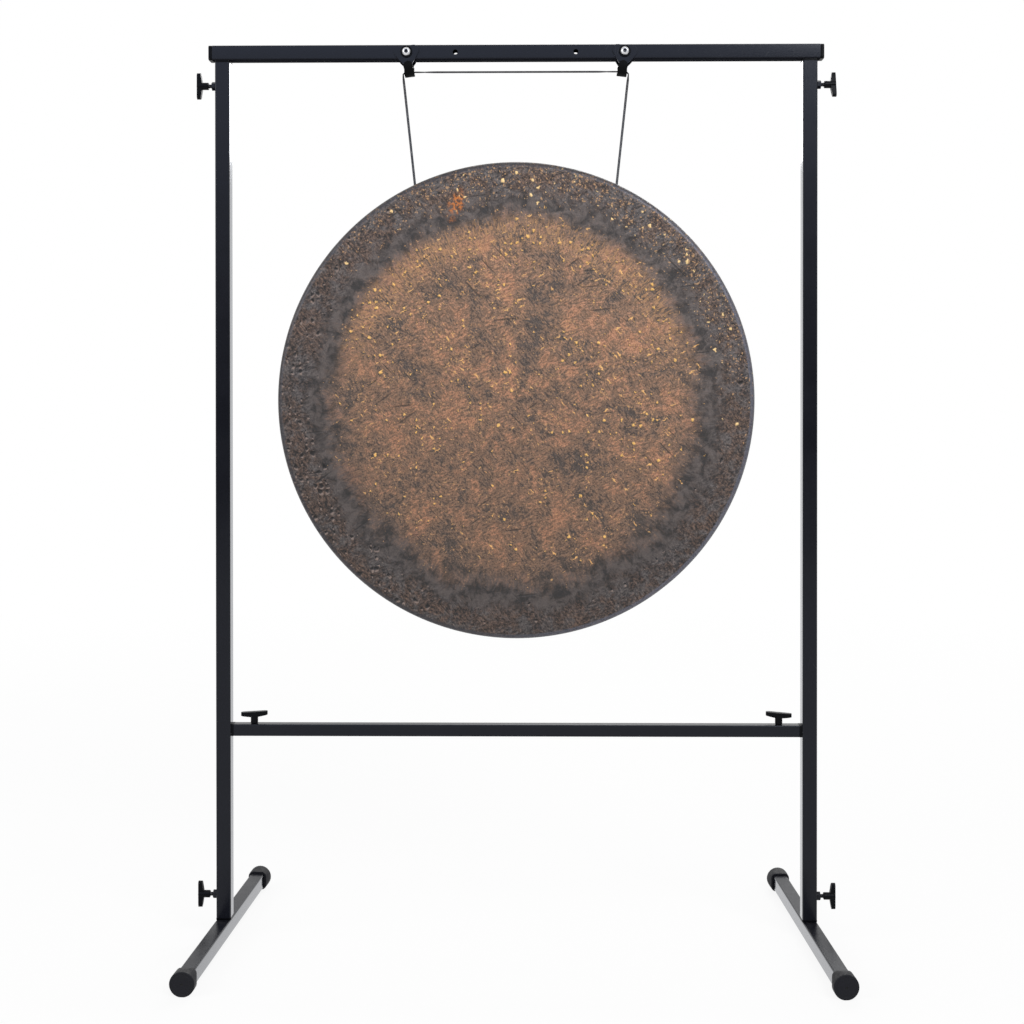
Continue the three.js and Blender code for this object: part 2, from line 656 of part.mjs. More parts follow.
// Front outline of the sleeve: round at the top, drawn in at its waist, with a lip at the bottom
function sleeveOutline() {
  const bottom = -HANGER_DROP - OVERRUN;
  const shape = new THREE.Shape();
  shape.absarc(0, -SLEEVE_TOP - SLEEVE_HALF, SLEEVE_HALF, 0, Math.PI);
  shape.lineTo(-SLEEVE_WAIST_HALF, -SLEEVE_WAIST);
  shape.lineTo(-SLEEVE_HALF, -SLEEVE_LIP);
  shape.lineTo(-SLEEVE_HALF, bottom);
  shape.lineTo(SLEEVE_HALF, bottom);
  shape.lineTo(SLEEVE_HALF, -SLEEVE_LIP);
  shape.lineTo(SLEEVE_WAIST_HALF, -SLEEVE_WAIST);
  shape.closePath();
  return shape;
}

function hangerSleeve() {
  const layer = SLEEVE + SLEEVE_GAP;
  const band = channel(STRAP_INSIDE - layer, STRAP_OUTSIDE + layer, 0);
  const body = common(band, extrudeDeep(sleeveOutline(), HANGER_DEPTH));
  return cut(body, strapBody(SLEEVE_GAP));
}

function hanger(side) {
  const group = groupAt(side.sign * HANGER_X, 0, BAR_CENTRE_Z,
    piece(`hanger_strap_${side.name}`, 'powder_coat', hangerStrap()),
    piece(`hanger_sleeve_${side.name}`, 'rubber', hangerSleeve()));
  group.rotation.y = side.sign * HANGER_LEAN;
  return group;
}

// Cord

const RUN_HALF = DROP_ROUTE[0][0] - SEAT_GAP;
const RUN_Z = BAR_CENTRE_Z + DROP_ROUTE[0][1];

// Section of a cord in the plane of the frame: its height in that plane and its depth along Y
function cordSection(height, depth) {
  const points = Array.from({ length: CORD_SIDES }, (_, index) => {
    const angle = (index * 2 * Math.PI) / CORD_SIDES;
    return new THREE.Vector2((height / 2) * Math.cos(angle), (depth / 2) * Math.sin(angle));
  });
  return new THREE.Shape(points);
}

// The strands of the run lie one behind the other
function cordRun() {
  const start = new THREE.Vector3(-RUN_HALF, 0, RUN_Z);
  const end = new THREE.Vector3(RUN_HALF, 0, RUN_Z);
  const section = cordSection(STRAND_DIAMETER, PAIR_DIAMETER);
  return extrude(section, 0, { steps: RUN_STEPS, extrudePath: new THREE.LineCurve3(start, end) });
}

function dropPoints(side) {
  return DROP_ROUTE.map(([x, z]) => new THREE.Vector3(side.sign * x, 0, BAR_CENTRE_Z + z));
}

// Each stretch between two points of the route has the same number of steps
function cordDrop(side) {
  const points = dropPoints(side);
  const curve = new THREE.CatmullRomCurve3(points, false, 'centripetal');
  curve.getPointAt = curve.getPoint;
  curve.getTangentAt = curve.getTangent;
  const section = cordSection(PAIR_DIAMETER, PAIR_DIAMETER);
  return extrude(section, 0, { steps: DROP_STEPS * (points.length - 1), extrudePath: curve });
}

// Knot under the lip, a gap past the end of the drop
function cordKnot(side) {
  const points = dropPoints(side);
  const end = points[points.length - 1];
  const direction = end.clone().sub(points[points.length - 2]).normalize();
  const radius = KNOT_DIAMETER / 2;
  const centre = end.clone().addScaledVector(direction, radius + SEAT_GAP);
  return new THREE.SphereGeometry(radius, KNOT_SIDES, KNOT_RINGS).translate(...centre);
}

// Gong. Its own frame has the middle of the front face at the origin and its axis along Y.

function gongShell() {
  const radius = GONG_DIAMETER / 2;
  const edge = GONG_EDGE_RADIUS;
  const inner = edge - GONG_WALL;
  const lipRadius = radius - GONG_LIP_TAPER;
  return turned([
    [0, 0],
    ...roundPoints(radius - edge, edge, edge, -Math.PI / 2, 0),
    [lipRadius, GONG_LIP_DEPTH],
    [lipRadius - GONG_WALL, GONG_LIP_DEPTH],
    ...roundPoints(radius - edge, edge, inner, 0, -Math.PI / 2),
    [0, GONG_WALL],
  ], GONG_SIDES);
}

// The balance point of a uniform disc with a lip is this far behind its face
const BALANCE_SETBACK = GONG_LIP_DEPTH ** 2 / (GONG_DIAMETER / 2 + 2 * GONG_LIP_DEPTH);

// The gong leans until its balance point hangs straight below the lip holes
const GONG_LEAN = Math.atan2(LIP_HOLE_SETBACK - BALANCE_SETBACK, HOLE_HEIGHT);

function gong() {
  const shell = alongY(gongShell());
  const holes = SIDES.map((side) => rod(LIP_HOLE_DIAMETER, -OVERRUN, OVERRUN)
    .rotateY(side.sign * Math.asin(LIP_HOLE_X / HOLE_RADIUS))
    .translate(side.sign * LIP_HOLE_X, LIP_HOLE_SETBACK, HOLE_HEIGHT));
  return cut(shell, ...holes).translate(0, -LIP_HOLE_SETBACK, -HOLE_HEIGHT);
}

function hangingGong() {
  const group = groupAt(0, 0, LIP_HOLE_Z, piece('gong', 'bronze', gong()));
  group.rotation.x = GONG_LEAN;
  return group;
}

function cordPieces() {
  const drops = SIDES.flatMap((side) => [
    piece(`cord_drop_${side.name}`, 'cord', cordDrop(side)),
    piece(`cord_knot_${side.name}`, 'cord', cordKnot(side)),
  ]);
  return [piece('cord_run', 'cord', cordRun()), ...drops];
}

const stand = new THREE.Group();
stand.add(
  ...SIDES.map(frameSide),
  ...crossBarPieces(),
  ...SIDES.map(foot),
  ...topBarPieces(),
  ...SIDES.map(hanger),
  ...cordPieces(),
  hangingGong(),
);

export default stand;
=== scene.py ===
# %% [markdown]
# # A gong on its stand
# This notebook dresses a finished CAD model of a gong stand, so that it looks like the real thing. The
# stand is square steel tube with a satin black coat. The gong is a hammered bronze dish, dark with age. The
# CAD model gives every size and place. Blender adds the looks: soft edges, coat, rubber, cord and bronze.

# %% Load the model and note its size
import json
import math

import bmesh
import bpy
from mathutils import Matrix, Vector, noise

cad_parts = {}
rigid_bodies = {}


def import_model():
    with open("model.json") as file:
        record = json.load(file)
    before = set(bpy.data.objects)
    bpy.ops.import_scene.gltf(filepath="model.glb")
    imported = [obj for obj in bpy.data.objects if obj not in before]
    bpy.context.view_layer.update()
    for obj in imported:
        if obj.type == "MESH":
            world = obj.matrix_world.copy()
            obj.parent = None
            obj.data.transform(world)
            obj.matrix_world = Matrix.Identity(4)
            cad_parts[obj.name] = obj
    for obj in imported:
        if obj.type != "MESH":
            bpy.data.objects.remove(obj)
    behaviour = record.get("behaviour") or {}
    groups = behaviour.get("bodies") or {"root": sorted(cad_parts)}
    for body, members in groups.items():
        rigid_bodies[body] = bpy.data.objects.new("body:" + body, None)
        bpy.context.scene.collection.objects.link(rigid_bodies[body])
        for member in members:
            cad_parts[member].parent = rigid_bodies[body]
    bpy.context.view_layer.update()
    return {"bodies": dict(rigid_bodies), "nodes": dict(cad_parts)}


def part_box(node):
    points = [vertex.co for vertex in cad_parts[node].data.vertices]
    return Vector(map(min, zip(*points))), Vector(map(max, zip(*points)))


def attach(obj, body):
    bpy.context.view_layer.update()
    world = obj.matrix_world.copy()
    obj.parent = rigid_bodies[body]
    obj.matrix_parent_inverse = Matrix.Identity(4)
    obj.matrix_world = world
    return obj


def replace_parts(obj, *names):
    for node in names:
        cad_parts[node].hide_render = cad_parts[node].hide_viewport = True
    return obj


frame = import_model()
scene = bpy.context.scene

# %% [markdown]
# ## The camera
# The photograph was taken from the front, about two and a half metres away and just below the gong's
# middle. The lens is level, and the picture is shifted instead of tilted. That keeps the uprights parallel,
# which is how a careful product photographer works. The place and the lens come from a fit to the corners
# of the tubes.

# %% Set up the camera
CAMERA_PLACE = Vector((0.0433, -2.4904, 0.9250))
CAMERA_TURN = math.radians(0.689)
CAMERA_DIP = math.radians(-0.357)
CAMERA_ROLL = math.radians(0.025)
LENS = 51.46
SENSOR = 36
LENS_SHIFT = (-0.0114, -0.1053)


def make_camera():
    lens = bpy.data.cameras.new("camera")
    lens.lens = LENS
    lens.sensor_width = SENSOR
    lens.shift_x, lens.shift_y = LENS_SHIFT
    camera = bpy.data.objects.new("camera", lens)
    scene.collection.objects.link(camera)
    level = Matrix.Rotation(math.radians(90), 4, "X")
    aim = Matrix.Rotation(CAMERA_TURN, 4, "Z") @ Matrix.Rotation(CAMERA_DIP, 4, "X")
    aim = aim @ Matrix.Rotation(CAMERA_ROLL, 4, "Y")
    camera.matrix_world = Matrix.Translation(CAMERA_PLACE) @ aim @ level
    return camera


scene.camera = make_camera()
print("the camera stands at", tuple(round(number, 3) for number in CAMERA_PLACE))

# %% [markdown]
# ## The cord
# The gong hangs on a doubled black cord. Both strands run from hanger to hanger, bend over a rubber sleeve,
# and drop to a hole in the gong's lip, where a knot holds them. Under the gong's weight they are as
# straight as rods. Each strand is a curve with a round section, so its length is that of a real cord. At
# the sleeve the two strands lie one behind the other. Below it the pair makes a quarter turn, so that from
# the front they hang side by side. Between the hangers it rolls over by an eighth of a turn.

# %% The route of the cord
STRAND = 0.0021
HALF_PAIR = STRAND / 2
TURN_START = 0.006
TURN_END = 0.026
ROLL_START = 0.020
ROLL_LENGTH = 0.030
RUN_HEIGHT = 1.4739
RUN_STEPS = 60
BEND_X = 0.1852
DROP_ROUTE = [
    (0.1852, 1.4739), (0.18838, 1.47299), (0.19059, 1.47053), (0.19117, 1.46726), (0.18831, 1.44049),
    (0.18545, 1.41373), (0.18259, 1.38696), (0.17973, 1.3602), (0.17686, 1.33343), (0.174, 1.30667),
    (0.17114, 1.2799),
]
KNOT_CENTRE = Vector((0.17063, 0, 1.27513))
KNOT_SIZE = 0.00112
KNOT_STEPS = 72
KNOT_TALL = 1.15
SIDES = (("left", -1), ("right", 1))


def rounded(points, cuts):
    """A smooth line through the points, with that many steps between each two."""
    ends = [points[0] * 2 - points[1]] + points + [points[-1] * 2 - points[-2]]
    line = []
    for before, first, last, after in zip(ends, ends[1:], ends[2:], ends[3:]):
        for step in range(cuts):
            part = step / cuts
            line.append(0.5 * (
                2 * first + (last - before) * part
                + (2 * before - 5 * first + 4 * last - after) * part ** 2
                + (3 * first - before - 3 * last + after) * part ** 3))
    line.append(points[-1])
    return line


def line_length(points):
    return sum((last - first).length for first, last in zip(points, points[1:]))


def strand_curve(name, points, closed=False):
    """A round cord along the points. Its thickness is each point's radius, times a depth of 1."""
    curve = bpy.data.curves.new(name, "CURVE")
    curve.dimensions = "3D"
    curve.bevel_depth = 1
    curve.bevel_resolution = 3
    curve.use_fill_caps = not closed
    spline = curve.splines.new("POLY")
    spline.points.add(len(points) - 1)
    for control, point in zip(spline.points, points):
        control.co = (*point, 1)
        control.radius = HALF_PAIR
    spline.use_cyclic_u = closed
    spline.use_smooth = True
    strand = bpy.data.objects.new(name, curve)
    scene.collection.objects.link(strand)
    return strand


def eased(share):
    """The share, held between 0 and 1, with a soft start and end."""
    share = min(max(share, 0), 1)
    return share ** 2 * (3 - 2 * share)


def drop_line(sign, turn):
    """One strand of a drop: round the sleeve, then a slow quarter turn with the other, down to the knot."""
    route = rounded([Vector((sign * x, 0, z)) for x, z in DROP_ROUTE], 10)
    line, gone = [], 0.0
    for index, point in enumerate(route):
        nearby = route[max(index - 1, 0):index + 2]
        along = (nearby[-1] - nearby[0]).normalized()
        gone += (point - route[index - 1]).length if index else 0.0
        angle = turn + math.pi / 2 * eased((gone - TURN_START) / (TURN_END - TURN_START))
        depth = Vector((0, 1, 0))
        line.append(point + HALF_PAIR * (math.cos(angle) * depth + math.sin(angle) * along.cross(depth)))
    return line


def knot_line(centre, sign):
    """A plain overhand knot, pulled tight: a trefoil loop about as wide as four strands."""
    points = []
    for step in range(KNOT_STEPS):
        angle = 2 * math.pi * step / KNOT_STEPS
        wide = math.sin(angle) + 2 * math.sin(2 * angle)
        deep = math.cos(angle) - 2 * math.cos(2 * angle)
        high = -KNOT_TALL * math.sin(3 * angle)
        points.append(centre + KNOT_SIZE * Vector((sign * wide, deep, high)))
    return points


# %% Make the strands and the knots
drop_strands, run_strands, knots = [], [], []
for side, sign in SIDES:
    knot = strand_curve(f"knot_{side}", knot_line(KNOT_CENTRE * Vector((sign, 1, 1)), sign), closed=True)
    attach(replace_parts(knot, f"cord_knot_{side}"), "hanging_gong")
    knots.append(knot)
    for part, turn in (("front", math.pi), ("back", 0.0)):
        line = drop_line(sign, turn)
        strand = strand_curve(f"drop_strand_{side}_{part}", line)
        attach(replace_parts(strand, f"cord_drop_{side}"), "hanging_gong")
        drop_strands.append(strand)
        print(strand.name, "is", round(line_length(line) * 1000), "mm long")


def run_line(sign):
    """One strand of the run: behind or before the other at the sleeves, and half over it in between."""
    line = []
    for step in range(2 * RUN_STEPS + 1):
        x = BEND_X * (step / RUN_STEPS - 1)
        angle = math.pi / 4 * eased((BEND_X - abs(x) - ROLL_START) / ROLL_LENGTH)
        aside, above = sign * HALF_PAIR * math.cos(angle), sign * HALF_PAIR * math.sin(angle)
        line.append(Vector((x, aside, RUN_HEIGHT + above)))
    return line


for part, sign in (("front", -1), ("back", 1)):
    line = run_line(sign)
    strand = strand_curve(f"run_strand_{part}", line)
    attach(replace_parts(strand, "cord_run"), "top")
    run_strands.append(strand)
print("the run between the hangers is", round(line_length(line) * 1000), "mm long")

# %% [markdown]
# ## Floor, background and light
# The stand is photographed on seamless white. The floor is a real surface that takes the shadow of the
# feet, with part of its white given off by itself to the camera and to mirror-like surfaces. That part
# grows with the distance, so that the floor joins the background without an edge. When a foot is drawn out
# of its upright, the floor goes down with it, so that the stand never sinks in. The light stays soft and
# plain: a grey sky and three large lamps. Gloss on the steel shows the room: white all round, but dim where
# the photographer stands, with a bluish bank of lamps above that dim part.

# %% Helpers for materials
def feed(socket, term):
    """Joins an output to a socket, or writes a plain value on it."""
    if isinstance(term, bpy.types.NodeSocket):
        socket.id_data.links.new(term, socket)
    elif term is not None:
        socket.default_value = term


def wire(node, **terms):
    """Feeds a node's sockets by name. An underscore stands for a space."""
    for name, term in terms.items():
        feed(node.inputs[name.replace("_", " ")], term)


def place_node(tree, kind, outputs, settings=None, **terms):
    """One node of any kind. Terms name its sockets, and the outputs that are asked for come back."""
    node = tree.nodes.new(kind)
    for name, value in (settings or {}).items():
        setattr(node, name, value)
    wire(node, **terms)
    found = [node.outputs[name] for name in outputs]
    return found[0] if len(found) == 1 else found


def tree_of(*terms):
    """The node tree that the terms stand in. At least one of them has to be a node's output."""
    return next(term.id_data for term in terms if isinstance(term, bpy.types.NodeSocket))


def calc(operation, *terms, clamp=False):
    """One Math node. Each term is a number or another node's output."""
    node = tree_of(*terms).nodes.new("ShaderNodeMath")
    node.operation = operation
    node.use_clamp = clamp
    for socket, term in zip(node.inputs, terms):
        feed(socket, term)
    return node.outputs[0]


def times(*terms, clamp=False):
    """The product of two or more terms."""
    product = terms[0]
    for term in terms[1:]:
        product = calc("MULTIPLY", product, term, clamp=clamp)
    return product


def total(*pairs):
    """The sum of some values, each times its weight."""
    so_far = times(*pairs[0])
    for value, weight in pairs[1:]:
        so_far = calc("ADD", so_far, times(value, weight))
    return so_far


def rest_of(share):
    """One minus the share."""
    return calc("SUBTRACT", 1.0, share)


def calc_vector(operation, *terms, output="Vector"):
    """One Vector Math node."""
    node = tree_of(*terms).nodes.new("ShaderNodeVectorMath")
    node.operation = operation
    for socket, term in zip(node.inputs, terms):
        feed(socket, term)
    return node.outputs[output]


def scaled(vector, factor):
    """The vector times a number."""
    return calc_vector("SCALE", vector, None, None, factor)


def axes(vector, wanted="XYZ"):
    """The coordinates of a vector that are asked for."""
    return place_node(tree_of(vector), "ShaderNodeSeparateXYZ", list(wanted), Vector=vector)


def spread(value, low, high, to_low=0.0, to_high=1.0):
    """Turns a value between low and high into one between the two others, with soft ends."""
    node = tree_of(value).nodes.new("ShaderNodeMapRange")
    node.interpolation_type = "SMOOTHSTEP"
    for socket, term in zip(node.inputs, (value, low, high, to_low, to_high)):
        feed(socket, term)
    return node.outputs[0]


def fade(value, low, high):
    """1 below low and 0 above high."""
    return spread(value, low, high, 1.0, 0.0)


def band(value, rise, fall):
    """1 in a band that starts over one pair of values and ends over another, and 0 outside it."""
    return times(spread(value, *rise), fade(value, *fall))


def mix_colour(share, first, second, kind="MIX"):
    """Goes from the first colour to the second as the share goes from 0 to 1."""
    node = tree_of(share, first, second).nodes.new("ShaderNodeMix")
    node.data_type = "RGBA"
    node.blend_type = kind
    feed(node.inputs[0], share)
    for socket, term in zip((node.inputs[6], node.inputs[7]), (first, second)):
        feed(socket, (*term, 1) if isinstance(term, tuple) else term)
    return node.outputs[2]


def shaded(colour, share, paint, strength=1.0):
    """The colour with a paint over it, where the share says so."""
    return mix_colour(times(share, strength, clamp=True), colour, paint)


def grain(place, scale, detail=3.0, rough=0.5, space="3D"):
    """Cloudy noise. The scale is in lumps per metre. In 2D it depends on X and Y alone."""
    return place_node(
        tree_of(place), "ShaderNodeTexNoise", ["Fac"], {"noise_dimensions": space},
        Vector=place, Scale=scale, Detail=detail, Roughness=rough)


def cells(place, scale, feature="F1", outputs=("Distance", "Color"), space="3D"):
    """Random cells. The scale is in cells per metre."""
    settings = {"feature": feature, "voronoi_dimensions": space}
    return place_node(
        tree_of(place), "ShaderNodeTexVoronoi", list(outputs), settings, Vector=place, Scale=scale)


def mapped(place, shift=(0, 0, 0), turn=(0, 0, 0), scale=(1, 1, 1), kind="POINT"):
    """Moves, turns and stretches a pattern on a piece."""
    return place_node(
        tree_of(place), "ShaderNodeMapping", ["Vector"], {"vector_type": kind},
        Vector=place, Location=shift, Rotation=turn, Scale=scale)


def centred_on(place, centre, turn=0.0):
    """The place as seen from a centre, turned about the Z axis."""
    return mapped(place, shift=tuple(-number for number in centre), turn=(0, 0, turn))


def face_distance(place):
    """How far a point is from the Y axis."""
    x, z = axes(place, "XZ")
    return calc("SQRT", calc("ADD", times(x, x), times(z, z)))


def bumped(height, depth, normal=None):
    """Turns a height into a bent normal. The depth is in metres."""
    return place_node(
        tree_of(height), "ShaderNodeBump", ["Normal"],
        Height=height, Distance=depth, Strength=1.0, Normal=normal)


def new_finish(name, **sockets):
    """A material with its shader, and the object's own coordinates to hang patterns on."""
    material = bpy.data.materials.new(name)
    material.use_nodes = True
    tree = material.node_tree
    shader = next(node for node in tree.nodes if node.type == "BSDF_PRINCIPLED")
    wire(shader, **sockets)
    place = place_node(tree, "ShaderNodeTexCoord", ["Object"])
    return material, shader, place


def seen_directly(tree):
    """1 where the camera, a reflection or clear material looks, and 0 for light on the object."""
    rays = place_node(
        tree, "ShaderNodeLightPath", ["Is Camera Ray", "Is Glossy Ray", "Is Transmission Ray"])
    return calc("MAXIMUM", calc("MAXIMUM", rays[0], rays[1]), rays[2])


# %% Floor and world
SAME_SPOT = 0.00001
FLOOR_HALF = 7
FLOOR_NEAR, FLOOR_FAR = 0.3, 4.2
FLOOR_GLOW = 0.9
FLOOR_WHITES = ((0.84, 0.84, 0.84), (0.86, 0.86, 0.86))
SKY_STRENGTH = 0.5
DIM_SHARE = 0.85
BANK_TINT = (1.35, 1.50, 1.85)


def mesh_object(name, bm, smooth=True):
    """Turns a mesh that is being built into an object of the scene."""
    for face in bm.faces:
        face.smooth = smooth
    mesh = bpy.data.meshes.new(name)
    bm.to_mesh(mesh)
    bm.free()
    made = bpy.data.objects.new(name, mesh)
    scene.collection.objects.link(made)
    return made


def spin_round(bm, axis, steps):
    """Spins a section once round an axis and joins its ends."""
    bmesh.ops.spin(
        bm, geom=bm.verts[:] + bm.edges[:], cent=(0, 0, 0), axis=axis, angle=math.radians(360), steps=steps,
        use_merge=True)
    bmesh.ops.remove_doubles(bm, verts=bm.verts[:], dist=SAME_SPOT)
    bmesh.ops.recalc_face_normals(bm, faces=bm.faces[:])


def white_floor():
    bm = bmesh.new()
    bmesh.ops.create_grid(bm, x_segments=8, y_segments=8, size=FLOOR_HALF)
    floor = mesh_object("floor", bm, smooth=False)
    material, shader, place = new_finish("floor_paper", Roughness=0.9)
    wire(shader, Base_Color=mix_colour(grain(place, 40), *FLOOR_WHITES))
    tree = material.node_tree
    glow = place_node(tree, "ShaderNodeEmission", ["Emission"], Strength=1.0)
    away = calc_vector("LENGTH", place, output="Value")
    share = times(seen_directly(tree), spread(away, FLOOR_NEAR, FLOOR_FAR, FLOOR_GLOW, 1.0))
    blend = tree.nodes.new("ShaderNodeMixShader")
    for socket, term in zip(blend.inputs, (share, shader.outputs[0], glow)):
        feed(socket, term)
    wire(next(node for node in tree.nodes if node.type == "OUTPUT_MATERIAL"), Surface=blend.outputs[0])
    floor.data.materials.append(material)
    for side, _ in SIDES:
        under = floor.constraints.new("FLOOR")
        under.target = frame["bodies"][f"foot_{side}"]
        under.floor_location = "FLOOR_NEGATIVE_Z"
    return floor


def soft_sky():
    world = bpy.data.worlds.new("soft_sky")
    world.use_nodes = True
    tree = world.node_tree
    background = next(node for node in tree.nodes if node.type == "BACKGROUND")
    strength = spread(seen_directly(tree), 0.0, 1.0, SKY_STRENGTH, 1.0)
    gloss = place_node(tree, "ShaderNodeLightPath", ["Is Glossy Ray"])
    ahead, up = axes(place_node(tree, "ShaderNodeTexCoord", ["Generated"]), "YZ")
    toward = times(fade(ahead, -0.8, -0.3), gloss)
    dim = times(toward, fade(up, 0.0, 0.2), DIM_SHARE)
    bank = times(toward, spread(up, 0.1, 0.22))
    wire(
        background, Color=mix_colour(bank, (1, 1, 1), BANK_TINT),
        Strength=times(strength, rest_of(dim)))
    scene.world = world


white_floor()
soft_sky()
scene.view_settings.view_transform = "Standard"

# %% Lamps
def softbox(name, place, aim, size, power):
    light = bpy.data.lights.new(name, "AREA")
    light.shape = "SQUARE"
    light.size = size
    light.energy = power
    lamp = bpy.data.objects.new(name, light)
    scene.collection.objects.link(lamp)
    direction = Vector(aim) - Vector(place)
    lamp.matrix_world = Matrix.Translation(place) @ direction.to_track_quat("-Z", "Y").to_matrix().to_4x4()
    return lamp


softbox("key", (1.6, -2.6, 3.0), (0, 0, 0.9), 1.6, 62)
softbox("fill", (-2.8, -1.6, 1.8), (0, 0, 0.8), 1.8, 34)
softbox("rim", (0.6, 2.6, 2.6), (0, 0, 0.9), 1.8, 40)
print("three lamps and a grey sky light the stand")

# %% [markdown]
# ## Effects that several finishes share
# A few surface effects come back on many pieces: the fine waves of a sprayed coat, dust that settles on
# upward faces, thin scratches, and the pebbled skin of moulded parts. Each is a node group with named
# inputs, built once. A group only hands out values and colours, and the shader stays in each material.

# %% Node groups
def new_group(name, outputs, **values):
    """An empty node group. It takes a place and some numbers, and it gives the numbers that are named."""
    tree = bpy.data.node_groups.new(name, "ShaderNodeTree")
    tree.interface.new_socket("Place", in_out="INPUT", socket_type="NodeSocketVector")
    for title, value in values.items():
        socket = tree.interface.new_socket(title, in_out="INPUT", socket_type="NodeSocketFloat")
        socket.default_value = value
    for title in outputs:
        tree.interface.new_socket(title, in_out="OUTPUT", socket_type="NodeSocketFloat")
    return tree, tree.nodes.new("NodeGroupInput").outputs, tree.nodes.new("NodeGroupOutput")


def use_group(group, outputs, **terms):
    """Places a group in a material with its own values."""
    return place_node(tree_of(*terms.values()), "ShaderNodeGroup", outputs, {"node_tree": group}, **terms)


def sprayed_coat_group():
    """The skin of a sprayed coat: slow waves, fine pimples and a tone that drifts."""
    tree, given, made = new_group("sprayed_coat", ["Height", "Tone"], Waves=420.0)
    waves = grain(given["Place"], given["Waves"], 2.0, 0.4)
    pimples = grain(given["Place"], times(given["Waves"], 4.5), 2.0, 0.5)
    height = total((waves, 0.75), (pimples, 0.25))
    wire(made, Height=height, Tone=grain(given["Place"], 11.0, 5.0, 0.6))
    return tree


def dust_group():
    """A mask for dust: most on faces that look up, in soft patches."""
    tree, given, made = new_group("settled_dust", ["Mask"], Amount=0.3)
    upward = axes(place_node(tree, "ShaderNodeNewGeometry", ["Normal"]), "Z")
    patches = spread(grain(given["Place"], 60.0, 6.0, 0.65), 0.35, 0.75)
    wire(made, Mask=times(spread(upward, 0.3, 1.0), patches, given["Amount"]))
    return tree


def scratches_group():
    """A mask for thin scratches in one direction, broken up so that few of them show."""
    tree, given, made = new_group("thin_scratches", ["Mask"], Size=20.0, Width=0.02, Share=0.35)
    wander = grain(given["Place"], 9.0, 2.0)
    offset = place_node(tree, "ShaderNodeCombineXYZ", ["Vector"], X=wander, Z=times(wander, 0.05))
    moved = calc_vector("ADD", given["Place"], scaled(offset, 0.02))
    distance = cells(moved, given["Size"], "DISTANCE_TO_EDGE", ["Distance"])
    clouds = grain(given["Place"], times(given["Size"], 0.8), 2.0)
    chosen = spread(clouds, calc("SUBTRACT", 0.75, times(given["Share"], 0.5)), 0.72)
    wire(made, Mask=times(fade(distance, 0.0, given["Width"]), chosen, clamp=True))
    return tree


def moulded_skin_group():
    """The pebbled skin that a mould leaves on plastic or rubber."""
    tree, given, made = new_group("moulded_skin", ["Height", "Tone"], Pebbles=1500.0)
    distance = cells(given["Place"], given["Pebbles"], "SMOOTH_F1", ["Distance"])
    fine = grain(given["Place"], times(given["Pebbles"], 1.7), 2.0)
    height = total((distance, -0.6), (fine, 0.4))
    wire(made, Height=height, Tone=grain(given["Place"], 45.0, 5.0, 0.6))
    return tree


SPRAYED_COAT = sprayed_coat_group()
SETTLED_DUST = dust_group()
THIN_SCRATCHES = scratches_group()
MOULDED_SKIN = moulded_skin_group()
print("shared effects:", [group.name for group in (SPRAYED_COAT, SETTLED_DUST, THIN_SCRATCHES, MOULDED_SKIN)])

# %% [markdown]
# ## The coat on the steel
# The tubes are powder coated: a dry paint is blown on and melted in an oven. It comes out a satin black
# with a touch of blue, smooth enough to mirror the white room at a flat angle, which is why the sides of
# the tubes look pale grey in the photograph. The base is nearly black, and the reflection does the rest.
# The sides got the most spray and have a second, glossier skin. Undersides are dry and dull, as the spray
# reaches them last.

# %% Powder coat
UNDERSIDE_ROUGH = 0.9
UNDERSIDE_GLOSS = 0.06
OPEN_GLOSS = 0.5
TOP_ROUGH = 0.30
COAT_BLACKS = ((0.0045, 0.0050, 0.0080), (0.0085, 0.0090, 0.0130))


def powder_coat():
    material, shader, place = new_finish(
        "powder_coat", IOR=1.3, Coat_IOR=1.45, Coat_Roughness=0.08,
        Specular_Tint=(0.88, 0.92, 1.0, 1), Coat_Tint=(0.93, 0.95, 1.0, 1))
    height, tone = use_group(SPRAYED_COAT, ["Height", "Tone"], Place=place, Waves=420.0)
    dust = use_group(SETTLED_DUST, ["Mask"], Place=place, Amount=0.12)
    scuffs = use_group(
        THIN_SCRATCHES, ["Mask"], Place=mapped(place, turn=(0.3, 0.4, 0.2), scale=(1, 1, 0.25)),
        Size=60.0, Width=0.012, Share=0.2)
    colour = mix_colour(dust, mix_colour(tone, *COAT_BLACKS), (0.13, 0.128, 0.127))
    colour = shaded(colour, scuffs, (0.10, 0.10, 0.11), 0.25)
    aside, upward = axes(place_node(tree_of(place), "ShaderNodeNewGeometry", ["Normal"]), "XZ")
    sprayed = spread(upward, -0.75, -0.40)
    rough = calc("ADD", spread(tone, 0.3, 0.7, 0.15, 0.22), times(dust, 0.8))
    rough = calc("MAXIMUM", rough, spread(sprayed, 0.0, 1.0, UNDERSIDE_ROUGH, 0.0))
    rough = calc("MAXIMUM", rough, spread(upward, 0.7, 0.95, 0.0, TOP_ROUGH))
    skin = bumped(height, 0.00003)
    wire(
        shader, Base_Color=colour, Roughness=calc("ADD", rough, times(scuffs, 0.1)),
        Specular_IOR_Level=spread(sprayed, 0.0, 1.0, UNDERSIDE_GLOSS, OPEN_GLOSS),
        Coat_Weight=times(spread(calc("ABSOLUTE", aside), 0.6, 0.95), sprayed),
        Normal=skin, Coat_Normal=skin)
    return material


# %% [markdown]
# ## Bright and black steel
# The hanger bolts, their nuts and the washers at the back are zinc plated: bright, slightly blue, with the
# fine rings that the turning tool left. The rings must be centred on each bolt, so the pattern is moved
# onto it with a Mapping node. The wing bolts' shafts are oiled black steel, with their thread drawn as a
# bump.

